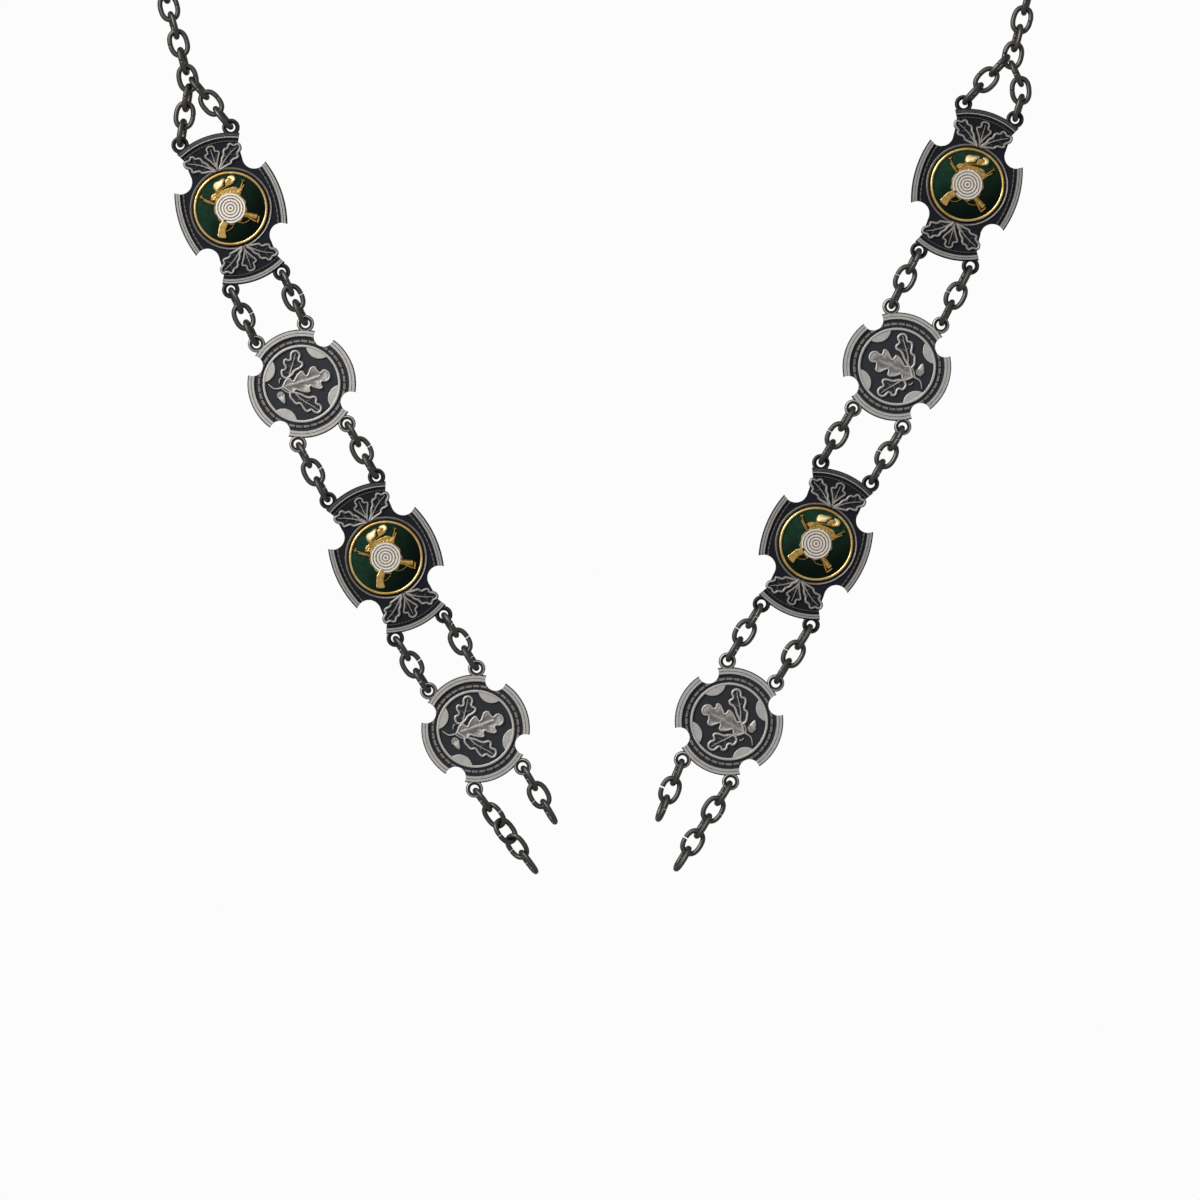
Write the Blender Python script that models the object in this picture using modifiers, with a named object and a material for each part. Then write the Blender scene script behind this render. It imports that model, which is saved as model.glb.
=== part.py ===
"""Shooting guild chain: cast plates on paired link chains, held up at its neck ring.

Metres, +Z up. The chain hangs in the XZ plane with its plates facing -Y, and the origin
is the middle of the neck ring. In a casting's own frame X runs across it, Y up it and Z
out of its face, and Z = 0 is the middle of its lugs. Run it with
blender --background --python part.py, or from the Text Editor.
"""

import math
from collections import namedtuple

import bmesh
import bpy
from mathutils import Matrix, Vector

NAME = "shooting_guild_chain"

# Clearance between pieces, how deep raised work is sunk, and what counts as touching,
# flat or sharp
GAP = 0.0003
EMBED = 0.0004
WELD_DISTANCE = 0.00001
FLAT_ANGLE = math.radians(0.05)
SHARP_ANGLE = math.radians(35)

# Chain links
LINK_LENGTH = 0.0109
LINK_WIDTH = 0.0081
WIRE = 0.0019
WELD = 0.00025
LINK_FULLNESS = 0.85
LINK_SIDES = 10
WIRE_SIDES = 5
GAP_LINKS = 3
FACE_ON = 0
EDGE_ON = 90

# Neck ring and neck chain
RING_DIAMETER = 0.026
RING_WIRE = 0.0024
RING_SIDES = 16
RING_PLAY = 0.0006
RING_EXIT_DEG = 13
NECK_TUBE_DIAMETER = 0.0066
NECK_POINT_SPACING = 0.0205

# Castings
BASE_THICKNESS = 0.0013
RIM_RISE = 0.0013
RIDGE_RISE = 0.0009
LEAF_RISE = 0.0007
MOON_RISE = 0.0005
LUG_RADIUS = 0.00325
LUG_HOLE_RADIUS = 0.0016
LUG_THICKNESS = 0.0013
LUG_SIDES = 8
HOLE_SIDES = 6

# Round plate
ROUND_RADIUS = 0.020
ROUND_RIM_WIDTH = 0.0026
ROUND_GROOVE_WIDTH = 0.0011
ROUND_RIDGE_WIDTH = 0.0029
ROUND_SIDES = 16
ROUND_NOTCH_RADIUS = 0.0038
NOTCH_SIDES = 7
ROUND_LUG_ACROSS = 0.00975
ROUND_LUG_REACH = 0.0022
MOON_RADIUS = 0.00495
MOON_SIDES = 6

# Cross plate
CROSS_REACH = 0.0281
CROSS_ARM_HALF = 0.0122
CROSS_RIM_WIDTH = 0.0025
CROSS_SIDE_REACH = 0.0198
CROSS_SIDE_RADIUS = 0.038
CROSS_SIDE_RIM_WIDTH = 0.0023
CROSS_NOTCH_RADIUS = 0.0045
CROSS_NOTCH_ARC_DEG = (162, 315)
CROSS_LUG_ACROSS = 0.0099
CROSS_LUG_REACH = 0.0018
CUTTER_MARGIN = 0.0018

# Emblem
EMBLEM_DIAMETER = 0.0253
BEZEL_WIDTH = 0.0012
BEZEL_HEIGHT = 0.0016
BEZEL_SLOPE = 0.7
ENAMEL_THICKNESS = 0.0009
COLLAR_WIDTH = 0.0010
EMBLEM_SIDES = 16
TARGET_RADIUS = 0.00555
TARGET_RISE = 0.0007
TARGET_SIDES = 10
RIFLE_LENGTH = 0.0222
RIFLE_ANGLE_DEG = 49
RIFLE_RISE = 0.00045
UNDER_RIFLE = 0.85
STOCK_WIDTH = 0.0022
HAT_WIDTH = 0.0098
HAT_HEIGHT = 0.0048
HAT_BASE = 0.0057
HAT_RISE = 0.00058

# Places on the castings, as shares of the round plate's radius, of its field's radius, and of
# the cross plate's reach
ROUND_NOTCH_SHARE = (0.71, 0.65)
MOON_SHARE = (0.858, 0.784)
CROSS_NOTCH_SHARE = (0.516, 0.5445)
CROSS_WAIST_SHARE = (0.377, 0.783)
CROSS_FIELD_TURN = 0.5

# Worked out from the sizes above
LINK_RUN = LINK_LENGTH - WIRE
LINK_SPREAD = LINK_WIDTH - WIRE
LINK_LAP = WIRE - WELD
WIRE_CORNER = WIRE / 2 * math.sqrt(2 * math.pi / (WIRE_SIDES * math.sin(2 * math.pi / WIRE_SIDES)))
LOOSE_LAP = 2 * WIRE_CORNER + GAP
BACK_Z = -(BASE_THICKNESS + RIM_RISE) / 2
FIELD_Z = BACK_Z + BASE_THICKNESS
RIM_Z = FIELD_Z + RIM_RISE
ROUND_FIELD_RADIUS = ROUND_RADIUS - ROUND_RIM_WIDTH - ROUND_GROOVE_WIDTH - ROUND_RIDGE_WIDTH
ROUND_LUG_LINE = ROUND_RADIUS + ROUND_LUG_REACH
ROUND_LUG = Vector((ROUND_LUG_ACROSS, math.sqrt(ROUND_LUG_LINE ** 2 - ROUND_LUG_ACROSS ** 2)))
ROUND_NOTCH = Vector(ROUND_NOTCH_SHARE) * ROUND_RADIUS
MOON_CENTRE = Vector(MOON_SHARE) * ROUND_FIELD_RADIUS
CROSS_FIELD_REACH = CROSS_REACH - CROSS_RIM_WIDTH
CROSS_LUG_LINE = CROSS_REACH + CROSS_LUG_REACH
CROSS_LUG = Vector((CROSS_LUG_ACROSS, math.sqrt(CROSS_LUG_LINE ** 2 - CROSS_LUG_ACROSS ** 2)))
CROSS_NOTCH = Vector(CROSS_NOTCH_SHARE) * CROSS_REACH
CROSS_WAIST = Vector(CROSS_WAIST_SHARE) * CROSS_REACH
EMBLEM_RADIUS = EMBLEM_DIAMETER / 2
BEZEL_OUTER = EMBLEM_RADIUS + BEZEL_WIDTH
COLLAR_INNER = BEZEL_OUTER + GAP
COLLAR_OUTER = COLLAR_INNER + COLLAR_WIDTH
SEAT_Z = FIELD_Z + GAP
ENAMEL_Z = SEAT_Z + ENAMEL_THICKNESS
RELIEF_Z = ENAMEL_Z + GAP

# Where each casting hangs: its middle, and how far its top leans outward
Plate = namedtuple("Plate", "side number kind x z lean_deg")
PLATES = (
    Plate("left", 1, "cross", -0.1359, -0.2342, 19.3),
    Plate("left", 1, "round", -0.1098, -0.2987, 22.5),
    Plate("left", 2, "cross", -0.0788, -0.3627, 26.0),
    Plate("left", 2, "round", -0.0458, -0.4257, 25.0),
    Plate("right", 1, "cross", 0.1351, -0.2255, 16.9),
    Plate("right", 1, "round", 0.1093, -0.2924, 20.5),
    Plate("right", 2, "cross", 0.0795, -0.3576, 22.8),
    Plate("right", 2, "round", 0.0475, -0.4230, 24.5),
)
OUTWARD = {"left": -1, "right": 1}

# Route of each neck chain from the ring to the middle of its join link, as (outward, up)
NECK_ROUTE = {
    "left": ((0.060, -0.0165), (0.112, -0.046), (0.148, -0.090), (0.1615, -0.139), (0.1518, -0.1863)),
    "right": ((0.060, -0.0165), (0.112, -0.045), (0.148, -0.087), (0.1612, -0.132), (0.1520, -0.1778)),
}

# The pair of chains under each join link: which lug, its sideways bow, and where its last
# link hooks into the join link, as shares of that link's run and spread
UpperChain = namedtuple("UpperChain", "side lug bow hook_along hook_inward")
UPPER_CHAINS = (
    UpperChain("left", "outer", 0.0, -0.306, 0.0),
    UpperChain("left", "inner", 0.0, -0.05, 0.22),
    UpperChain("right", "outer", 0.0033, -0.306, 0.0),
    UpperChain("right", "inner", 0.0, -0.05, 0.22),
)

# Free chains under the lowest castings: the turn of each link, and the way the chain points
LowerChain = namedtuple("LowerChain", "side lug inward_deg turns")
LOWER_CHAINS = (
    LowerChain("left", "inner", 30.4, (EDGE_ON, FACE_ON, EDGE_ON)),
    LowerChain("left", "outer", 36.6, (EDGE_ON, FACE_ON, EDGE_ON, FACE_ON, EDGE_ON)),
    LowerChain("right", "inner", 22.3, (EDGE_ON, FACE_ON, EDGE_ON)),
    LowerChain("right", "outer", 32.1, (EDGE_ON, FACE_ON, EDGE_ON, FACE_ON, EDGE_ON)),
)

# Edges of an oak leaf with two or three lobes a side: along as a share of its length, and
# across as a share of its half width
TWO_LOBES = ((0.26, 0.93), (0.43, 0.45), (0.69, 0.90))
THREE_LOBES = ((0.19, 0.87), (0.30, 0.43), (0.48, 1.0), (0.60, 0.43), (0.78, 0.80))

# Leaves in the casting's own frame, and how much of LEAF_RISE they stand up. The cross's are
# shares of the arm's half width and of the way from the collar to the rim; the round plate's
# are shares of its field's radius
Leaf = namedtuple("Leaf", "base tip half_width lobes rise")
CROSS_SPRAY = (
    Leaf((0.0, -0.015), (0.943, 0.522), 0.279, TWO_LOBES, 1.0),
    Leaf((0.0, -0.015), (0.0, 0.866), 0.213, TWO_LOBES, 1.0),
    Leaf((0.0, -0.015), (-0.943, 0.522), 0.279, TWO_LOBES, 1.0),
)
ROUND_SPRAY = (
    Leaf((-0.567, 0.119), (0.851, 0.015), 0.351, THREE_LOBES, 1.0),
    Leaf((-0.269, 0.269), (0.179, 0.948), 0.328, TWO_LOBES, 0.9),
    Leaf((-0.269, -0.119), (0.149, -0.933), 0.299, TWO_LOBES, 0.85),
)
STEM = ((-0.851, 0.343), (-0.478, 0.075))
STEM_WIDTH = 0.097
ACORN_CUP = (-0.627, -0.045)
ACORN_HALF_WIDTH = 0.127
ACORN_LENGTH = 0.313
LOW_RISE = 0.75

# Acorn from cup to tip and back, as shares of its half width and length
ACORN_OUTLINE = ((-1, -0.1), (-1, 0.25), (-0.8, 0.6), (0, 1), (0.8, 0.6), (1, 0.25), (1, -0.1))

# Rifle from muzzle to butt and back, as shares of half its length and of its stock's width
RIFLE_OUTLINE = ((1, 0.2), (-0.5, 0.33), (-1, 0.4), (-1, -0.6), (1, -0.2))

# Hat with its brim, as shares of its width and height
HAT_OUTLINE = ((-0.5, 0.2), (0, -0.35), (0.5, 0.2), (0.2, 1), (-0.25, 1))

# Colour as linear RGB, metallic and roughness
Finish = namedtuple("Finish", "name colour metallic roughness")
SILVER = Finish("antique_silver", (0.34, 0.33, 0.32), 1.0, 0.38)
STEEL = Finish("blackened_steel", (0.075, 0.072, 0.068), 1.0, 0.42)
GOLD = Finish("gilt_brass", (0.70, 0.45, 0.16), 1.0, 0.30)
GREEN = Finish("green_enamel", (0.006, 0.035, 0.015), 0.0, 0.12)


def clear_scene():
    for obj in list(bpy.data.objects):
        bpy.data.objects.remove(obj, do_unlink=True)


def make_material(finish):
    material = bpy.data.materials.new(finish.name)
    material.use_nodes = True
    shader = material.node_tree.nodes["Principled BSDF"]
    shader.inputs["Base Color"].default_value = (*finish.colour, 1.0)
    shader.inputs["Metallic"].default_value = finish.metallic
    shader.inputs["Roughness"].default_value = finish.roughness
    return material


def scratch_object(name, data):
    """Short-lived object that a shape is made with."""
    obj = bpy.data.objects.new(name, data)
    bpy.context.scene.collection.objects.link(obj)
    return obj


def settle(obj):
    """Mesh of an object as evaluated, with loose caps welded; the object is removed."""
    depsgraph = bpy.context.evaluated_depsgraph_get()
    mesh = bpy.data.meshes.new_from_object(obj.evaluated_get(depsgraph))
    bpy.data.objects.remove(obj, do_unlink=True)
    work = bmesh.new()
    work.from_mesh(mesh)
    bmesh.ops.remove_doubles(work, verts=work.verts, dist=WELD_DISTANCE)
    bmesh.ops.recalc_face_normals(work, faces=work.faces)
    work.to_mesh(mesh)
    work.free()
    return mesh


def merge_flat_faces(mesh):
    """Joins neighbouring faces that lie in one plane."""
    work = bmesh.new()
    work.from_mesh(mesh)
    bmesh.ops.dissolve_limit(
        work, angle_limit=FLAT_ANGLE, use_dissolve_boundaries=False, verts=work.verts, edges=work.edges
    )
    work.to_mesh(mesh)
    work.free()
    return mesh


def worked(base, steps):
    """Mesh left when each (operation, tool mesh) step has been done to the base mesh."""
    obj = scratch_object("work", base)
    tools = []
    for operation, tool in steps:
        cutter = scratch_object("tool", tool)
        modifier = obj.modifiers.new(operation.lower(), "BOOLEAN")
        modifier.operation = operation
        modifier.object = cutter
        modifier.solver = "EXACT"
        tools.append(cutter)
    mesh = settle(obj)
    for cutter in tools:
        bpy.data.objects.remove(cutter, do_unlink=True)
    return merge_flat_faces(mesh)


def slab(outline, low, high):
    """Solid of a flat outline between two heights."""
    curve = bpy.data.curves.new("outline", "CURVE")
    curve.dimensions = "2D"
    curve.fill_mode = "BOTH"
    curve.extrude = (high - low) / 2
    spline = curve.splines.new("POLY")
    spline.points.add(len(outline) - 1)
    for point, (x, y) in zip(spline.points, outline):
        point.co = (x, y, 0, 1)
    spline.use_cyclic_u = True
    mesh = settle(scratch_object("outline", curve))
    mesh.transform(Matrix.Translation((0, 0, (low + high) / 2)))
    return mesh


def disc(centre, radius, low, high, sides):
    """Solid round disc between two heights."""
    mesh = bpy.data.meshes.new("disc")
    work = bmesh.new()
    bmesh.ops.create_cone(
        work, cap_ends=True, segments=sides, radius1=radius, radius2=radius, depth=high - low
    )
    bmesh.ops.translate(work, verts=work.verts, vec=(centre[0], centre[1], (low + high) / 2))
    work.to_mesh(mesh)
    work.free()
    return mesh


def turned(profile, sides, ring):
    """Solid turned about Z from (radius, height) points; a ring's profile is closed."""
    mesh = bpy.data.meshes.new("profile")
    count = len(profile)
    edges = [(i, i + 1) for i in range(count - 1)]
    if ring:
        edges.append((count - 1, 0))
    mesh.from_pydata([(radius, 0, height) for radius, height in profile], edges, [])
    obj = scratch_object("profile", mesh)
    screw = obj.modifiers.new("turn", "SCREW")
    screw.steps = sides
    screw.render_steps = sides
    screw.use_merge_vertices = True
    screw.merge_threshold = WELD_DISTANCE
    return settle(obj)


def arc(centre, radius, start_deg, end_deg, steps):
    points = []
    for i in range(steps + 1):
        angle = math.radians(start_deg + (end_deg - start_deg) * i / steps)
        points.append(Vector(centre) + radius * Vector((math.cos(angle), math.sin(angle))))
    return points


def full_turn(centre, radius, sides):
    """Corners of a regular polygon, the first of them to the right."""
    return arc(centre, radius, 0, 360 - 360 / sides, sides - 1)


def four_quarters(quarter):
    """Whole outline from the quarter that runs from the top round to the right-hand side."""
    right = quarter + [Vector((p.x, -p.y)) for p in reversed(quarter)]
    return right + [Vector((-p.x, p.y)) for p in reversed(right)]


def four_corners(point):
    return [Vector((sx * point[0], sy * point[1])) for sx in (-1, 1) for sy in (-1, 1)]


def leaf_outline(leaf):
    """Edge of a lobed leaf from its base to its tip and back, without the base itself."""
    base = Vector(leaf.base)
    run = Vector(leaf.tip) - base
    across = Vector((-run.y, run.x)).normalized() * leaf.half_width
    left = [base + run * along + across * width for along, width in leaf.lobes]
    right = [base + run * along - across * width for along, width in leaf.lobes]
    return right + [Vector(leaf.tip)] + left[::-1]


def raised(outline, share=1.0):
    """Relief on the field, standing up by a share of the leaves' rise."""
    return slab(outline, FIELD_Z - EMBED, FIELD_Z + LEAF_RISE * share)


def cross_spray_mesh(spin_deg):
    """Leaves that share one base above the collar, spun about the middle of the casting."""
    stretch = CROSS_FIELD_REACH - COLLAR_OUTER

    def on_arm(share):
        return Vector((share[0] * CROSS_ARM_HALF, COLLAR_OUTER + share[1] * stretch))

    outline = [CROSS_SPRAY[0].base]
    for leaf in CROSS_SPRAY:
        outline += leaf_outline(leaf)
    mesh = raised([on_arm(share) for share in outline])
    mesh.transform(Matrix.Rotation(math.radians(spin_deg), 4, "Z"))
    return mesh


def round_spray_meshes():
    """Leaves, stem and acorn of the round plate."""
    scale = ROUND_FIELD_RADIUS
    meshes = []
    for leaf in ROUND_SPRAY:
        outline = leaf_outline(leaf) + [Vector(leaf.base)]
        meshes.append(raised([p * scale for p in outline], leaf.rise))
    meshes.append(raised(bar_outline(*STEM, STEM_WIDTH, scale), LOW_RISE))
    meshes.append(raised([
        scale * Vector((ACORN_CUP[0] + x * ACORN_HALF_WIDTH, ACORN_CUP[1] - y * ACORN_LENGTH))
        for x, y in ACORN_OUTLINE
    ], LOW_RISE))
    return meshes


def bar_outline(start, end, width, scale):
    """Straight bar between two points, with all its lengths multiplied by the scale."""
    start = Vector(start)
    end = Vector(end)
    run = (end - start).normalized()
    side = Vector((-run.y, run.x)) * width / 2
    return [p * scale for p in (start - side, end - side, end + side, start + side)]


def lugs(centre):
    return [("UNION", disc(c, LUG_RADIUS, -LUG_THICKNESS / 2, LUG_THICKNESS / 2, LUG_SIDES))
            for c in four_corners(centre)]


def lug_holes(centre):
    return [("DIFFERENCE", disc(c, LUG_HOLE_RADIUS, BACK_Z, RIM_Z, HOLE_SIDES))
            for c in four_corners(centre)]


def moon_outline(centre):
    """Disc of a half moon, held back to where the ridge starts."""
    limit = ROUND_FIELD_RADIUS + EMBED
    points = full_turn(centre, MOON_RADIUS, MOON_SIDES)
    return [p if p.length < limit else p.normalized() * limit for p in points]


def round_plate_mesh():
    ridge_outer = ROUND_RADIUS - ROUND_RIM_WIDTH - ROUND_GROOVE_WIDTH
    rim_inner = ROUND_RADIUS - ROUND_RIM_WIDTH
    groove = (rim_inner + ridge_outer) / 2
    body = turned((
        (0, FIELD_Z),
        (ROUND_FIELD_RADIUS, FIELD_Z),
        (ROUND_FIELD_RADIUS, FIELD_Z + RIDGE_RISE),
        (ridge_outer, FIELD_Z + RIDGE_RISE),
        (groove, FIELD_Z),
        (rim_inner, RIM_Z),
        (ROUND_RADIUS, RIM_Z),
        (ROUND_RADIUS, BACK_Z),
        (0, BACK_Z),
    ), ROUND_SIDES, ring=False)
    steps = [("UNION", slab(moon_outline(c), FIELD_Z - EMBED, FIELD_Z + MOON_RISE))
             for c in four_corners(MOON_CENTRE)]
    steps += [("UNION", mesh) for mesh in round_spray_meshes()]
    steps += lugs(ROUND_LUG)
    for centre in four_corners(ROUND_NOTCH):
        steps.append(("DIFFERENCE", disc(centre, ROUND_NOTCH_RADIUS, BACK_Z * 2, RIM_Z * 2, NOTCH_SIDES)))
    steps += lug_holes(ROUND_LUG)
    return worked(body, steps)


def cross_outline():
    corner_deg = math.degrees(math.acos(CROSS_ARM_HALF / CROSS_REACH))
    side_middle = Vector((CROSS_SIDE_REACH - CROSS_SIDE_RADIUS, 0))
    notch = arc(CROSS_NOTCH, CROSS_NOTCH_RADIUS, *CROSS_NOTCH_ARC_DEG, 4)
    side_deg = math.degrees(math.asin(notch[-1].y / CROSS_SIDE_RADIUS))
    quarter = arc((0, 0), CROSS_REACH, 90, corner_deg, 2)[1:]
    quarter.append(CROSS_WAIST)
    quarter += notch
    quarter += arc(side_middle, CROSS_SIDE_RADIUS, side_deg, 0, 2)[1:-1]
    return four_quarters(quarter)


def cross_field():
    """Outline of the sunk field: it runs out past the arms' sides and through the notches."""
    reach = CROSS_FIELD_REACH
    edge = CROSS_ARM_HALF + CUTTER_MARGIN
    side_radius = CROSS_SIDE_RADIUS - CROSS_SIDE_RIM_WIDTH
    side_middle = Vector((CROSS_SIDE_REACH - CROSS_SIDE_RADIUS, 0))
    side_deg = math.degrees(math.asin(CROSS_REACH * CROSS_FIELD_TURN / side_radius))
    quarter = arc((0, 0), reach, 90, math.degrees(math.acos(edge / reach)), 2)[1:]
    quarter += arc(side_middle, side_radius, side_deg, 0, 2)[:-1]
    return four_quarters(quarter)


def cross_plate_mesh():
    body = slab(cross_outline(), BACK_Z, RIM_Z)
    collar = turned((
        (COLLAR_INNER, FIELD_Z - EMBED),
        (COLLAR_INNER, FIELD_Z + RIDGE_RISE),
        (COLLAR_OUTER, FIELD_Z + RIDGE_RISE),
        (COLLAR_OUTER, FIELD_Z - EMBED),
    ), EMBLEM_SIDES, ring=True)
    steps = [("DIFFERENCE", slab(cross_field(), FIELD_Z, RIM_Z * 2)), ("UNION", collar)]
    steps += [("UNION", cross_spray_mesh(spin)) for spin in (0, 180)]
    steps += lugs(CROSS_LUG)
    steps += lug_holes(CROSS_LUG)
    return worked(body, steps)


def bezel_mesh():
    return turned((
        (EMBLEM_RADIUS, SEAT_Z),
        (EMBLEM_RADIUS, SEAT_Z + BEZEL_HEIGHT),
        (BEZEL_OUTER, SEAT_Z + BEZEL_HEIGHT * BEZEL_SLOPE),
        (BEZEL_OUTER, SEAT_Z),
    ), EMBLEM_SIDES, ring=True)


def enamel_mesh():
    return disc((0, 0), EMBLEM_RADIUS - GAP, SEAT_Z, ENAMEL_Z, EMBLEM_SIDES)


def rifle_mesh(side, rise):
    """Rifle lying across the emblem, butt low, leaning to the given side."""
    outline = [(x * RIFLE_LENGTH / 2, y * STOCK_WIDTH) for x, y in RIFLE_OUTLINE]
    mesh = slab(outline, RELIEF_Z, RELIEF_Z + rise)
    mesh.transform(Matrix.Rotation(math.radians(RIFLE_ANGLE_DEG), 4, "Z"))
    if side < 0:
        mesh.transform(Matrix.Rotation(math.pi, 4, "Y"))
        mesh.transform(Matrix.Translation((0, 0, 2 * RELIEF_Z + rise)))
    return mesh


def emblem_relief_mesh():
    """Crossed rifles with a target over them and a hunter's hat above it."""
    target = disc((0, 0), TARGET_RADIUS, RELIEF_Z, RELIEF_Z + TARGET_RISE, TARGET_SIDES)
    hat = slab(
        [(x * HAT_WIDTH, HAT_BASE + y * HAT_HEIGHT) for x, y in HAT_OUTLINE],
        RELIEF_Z, RELIEF_Z + HAT_RISE,
    )
    return worked(target, [
        ("UNION", rifle_mesh(1, RIFLE_RISE)),
        ("UNION", rifle_mesh(-1, RIFLE_RISE * UNDER_RIFLE)),
        ("UNION", hat),
    ])


def link_mesh(run):
    """Closed oval of wire whose ends lie a run apart along X, wide along Y."""
    section = bpy.data.curves.new("wire_section", "CURVE")
    section.dimensions = "2D"
    ring = section.splines.new("POLY")
    ring.points.add(WIRE_SIDES - 1)
    for point, spot in zip(ring.points, full_turn((0, 0), WIRE_CORNER, WIRE_SIDES)):
        point.co = (spot.x, spot.y, 0, 1)
    ring.use_cyclic_u = True
    section_object = scratch_object("wire_section", section)

    curve = bpy.data.curves.new("link", "CURVE")
    curve.dimensions = "3D"
    curve.bevel_mode = "OBJECT"
    curve.bevel_object = section_object
    oval = curve.splines.new("POLY")
    oval.points.add(LINK_SIDES - 1)
    for i, point in enumerate(oval.points):
        angle = 2 * math.pi * i / LINK_SIDES
        x = math.copysign(abs(math.cos(angle)) ** LINK_FULLNESS, math.cos(angle))
        y = math.copysign(abs(math.sin(angle)) ** LINK_FULLNESS, math.sin(angle))
        point.co = (x * run / 2, y * LINK_SPREAD / 2, 0, 1)
    oval.use_cyclic_u = True
    mesh = settle(scratch_object("link", curve))
    bpy.data.objects.remove(section_object, do_unlink=True)
    return mesh


def placed_link(start, end, turn_deg):
    """Link whose end wires have their middles at two points, turned about its length."""
    run = end - start
    along = run.normalized()
    back = Vector((0, 1, 0))
    side = back.cross(along)
    turn = math.radians(turn_deg)
    across = side * math.cos(turn) + back * math.sin(turn)
    frame = Matrix((along, across, along.cross(across))).transposed().to_4x4()
    mesh = link_mesh(run.length)
    mesh.transform(Matrix.Translation((start + end) / 2) @ frame)
    return mesh


def bowed_line(start, end, bow):
    """Length and point function of the line between two points, bowed sideways as an arc."""
    run = end - start
    if bow == 0:
        return run.length, lambda share: start + run * share
    along = run.normalized()
    side = Vector((0, 1, 0)).cross(along)
    radius = (run.length ** 2 / 4 + bow ** 2) / (2 * bow)
    half = math.asin(run.length / 2 / radius)
    middle = start + run / 2 - side * (radius - bow)

    def point(share):
        angle = half * (2 * share - 1)
        return middle + radius * (side * math.cos(angle) + along * math.sin(angle))

    return abs(2 * radius * half), point


def chain_links(start, end, turns, bow=0.0):
    """Meshes of links that reach from one point to another, lapped by a weld."""
    count = len(turns)
    length, point = bowed_line(start, end, bow)
    run = (length + (count - 1) * LINK_LAP) / count
    links = []
    for i, turn in enumerate(turns):
        first = i * (run - LINK_LAP) / length
        links.append(placed_link(point(first), point(first + run / length), turn))
    return links


def fused(meshes):
    return worked(meshes[0], [("UNION", mesh) for mesh in meshes[1:]])


def casting_matrix(plate):
    """World place of a casting: stood up to face -Y, leaning, and at its middle."""
    lean = Matrix.Rotation(math.radians(plate.lean_deg) * OUTWARD[plate.side], 4, "Y")
    upright = Matrix.Rotation(math.radians(90), 4, "X")
    return Matrix.Translation((plate.x, 0, plate.z)) @ lean @ upright


def lug_point(plate, lug, upper):
    """World place of a lug hole's middle; lug is outer or inner."""
    reach = CROSS_LUG if plate.kind == "cross" else ROUND_LUG
    outward = OUTWARD[plate.side] * (1 if lug == "outer" else -1)
    local = Vector((reach.x * outward, reach.y if upper else -reach.y, 0))
    return casting_matrix(plate) @ local


def strand(side):
    return [plate for plate in PLATES if plate.side == side]


def ring_direction(side):
    angle = math.radians(RING_EXIT_DEG)
    return Vector((OUTWARD[side] * math.cos(angle), 0, -math.sin(angle)))


def neck_points(side):
    """Smooth run of points from the ring to the join link, evenly spaced."""
    reach = RING_DIAMETER / 2 + LINK_RUN / 2
    route = [ring_direction(side) * reach]
    route += [Vector((OUTWARD[side] * x, 0, z)) for x, z in NECK_ROUTE[side]]
    knots = [2 * route[0] - route[1]] + route + [2 * route[-1] - route[-2]]
    points = []
    for a, b, c, d in zip(knots, knots[1:], knots[2:], knots[3:]):
        steps = max(2, round((c - b).length / NECK_POINT_SPACING))
        for i in range(steps):
            t = i / steps
            points.append(0.5 * (
                2 * b + (c - a) * t + (2 * a - 5 * b + 4 * c - d) * t ** 2
                + (3 * b - a - 3 * c + d) * t ** 3
            ))
    points.append(route[-1])
    return points


def join_axis(side):
    """Unit vector up the join link, along the end of the neck chain."""
    points = neck_points(side)
    return (points[-2] - points[-1]).normalized()


def tube_mesh(points, diameter):
    curve = bpy.data.curves.new("tube", "CURVE")
    curve.dimensions = "3D"
    curve.bevel_depth = diameter / 2
    curve.bevel_resolution = 2
    curve.use_fill_caps = True
    spline = curve.splines.new("POLY")
    spline.points.add(len(points) - 1)
    for point, spot in zip(spline.points, points):
        point.co = (*spot, 1)
    return settle(scratch_object("tube", curve))


def neck_chain_mesh(side):
    """The run of links as a tube, with its first and last links whole at its ends."""
    away = ring_direction(side)
    ring_line = (RING_DIAMETER - RING_WIRE) / 2
    ring_end = away * (ring_line - RING_WIRE / 2 - WIRE_CORNER - RING_PLAY)
    first = placed_link(ring_end, ring_end + away * LINK_RUN, EDGE_ON)
    axis = join_axis(side)
    join = neck_points(side)[-1]
    join_end = join + axis * (LINK_RUN / 2 - LOOSE_LAP)
    last = placed_link(join_end, join_end + axis * LINK_RUN, EDGE_ON)
    tube_end = join_end + axis * LINK_RUN / 2
    inner = [p for p in neck_points(side)[1:] if (p - join).length > LINK_LENGTH + LINK_RUN / 2]
    points = [ring_end + away * LINK_RUN / 2] + inner + [tube_end]
    return fused([tube_mesh(points, NECK_TUBE_DIAMETER), first, last])


def upper_chain_mesh(side):
    """The join link with the pair of chains from the first casting's upper lugs."""
    axis = join_axis(side)
    join = neck_points(side)[-1]
    inward = Vector((0, 1, 0)).cross(axis)
    if inward.x * OUTWARD[side] > 0:
        inward = -inward
    links = [placed_link(join - axis * LINK_RUN / 2, join + axis * LINK_RUN / 2, FACE_ON)]
    for chain in UPPER_CHAINS:
        if chain.side != side:
            continue
        start = lug_point(strand(side)[0], chain.lug, upper=True)
        hook = join + axis * LINK_RUN * chain.hook_along + inward * LINK_SPREAD * chain.hook_inward
        bow = chain.bow * OUTWARD[side]
        links += chain_links(start, hook, gap_turns(), bow)
    return fused(links)


def gap_turns():
    return [EDGE_ON if i % 2 == 0 else FACE_ON for i in range(GAP_LINKS)]


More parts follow.
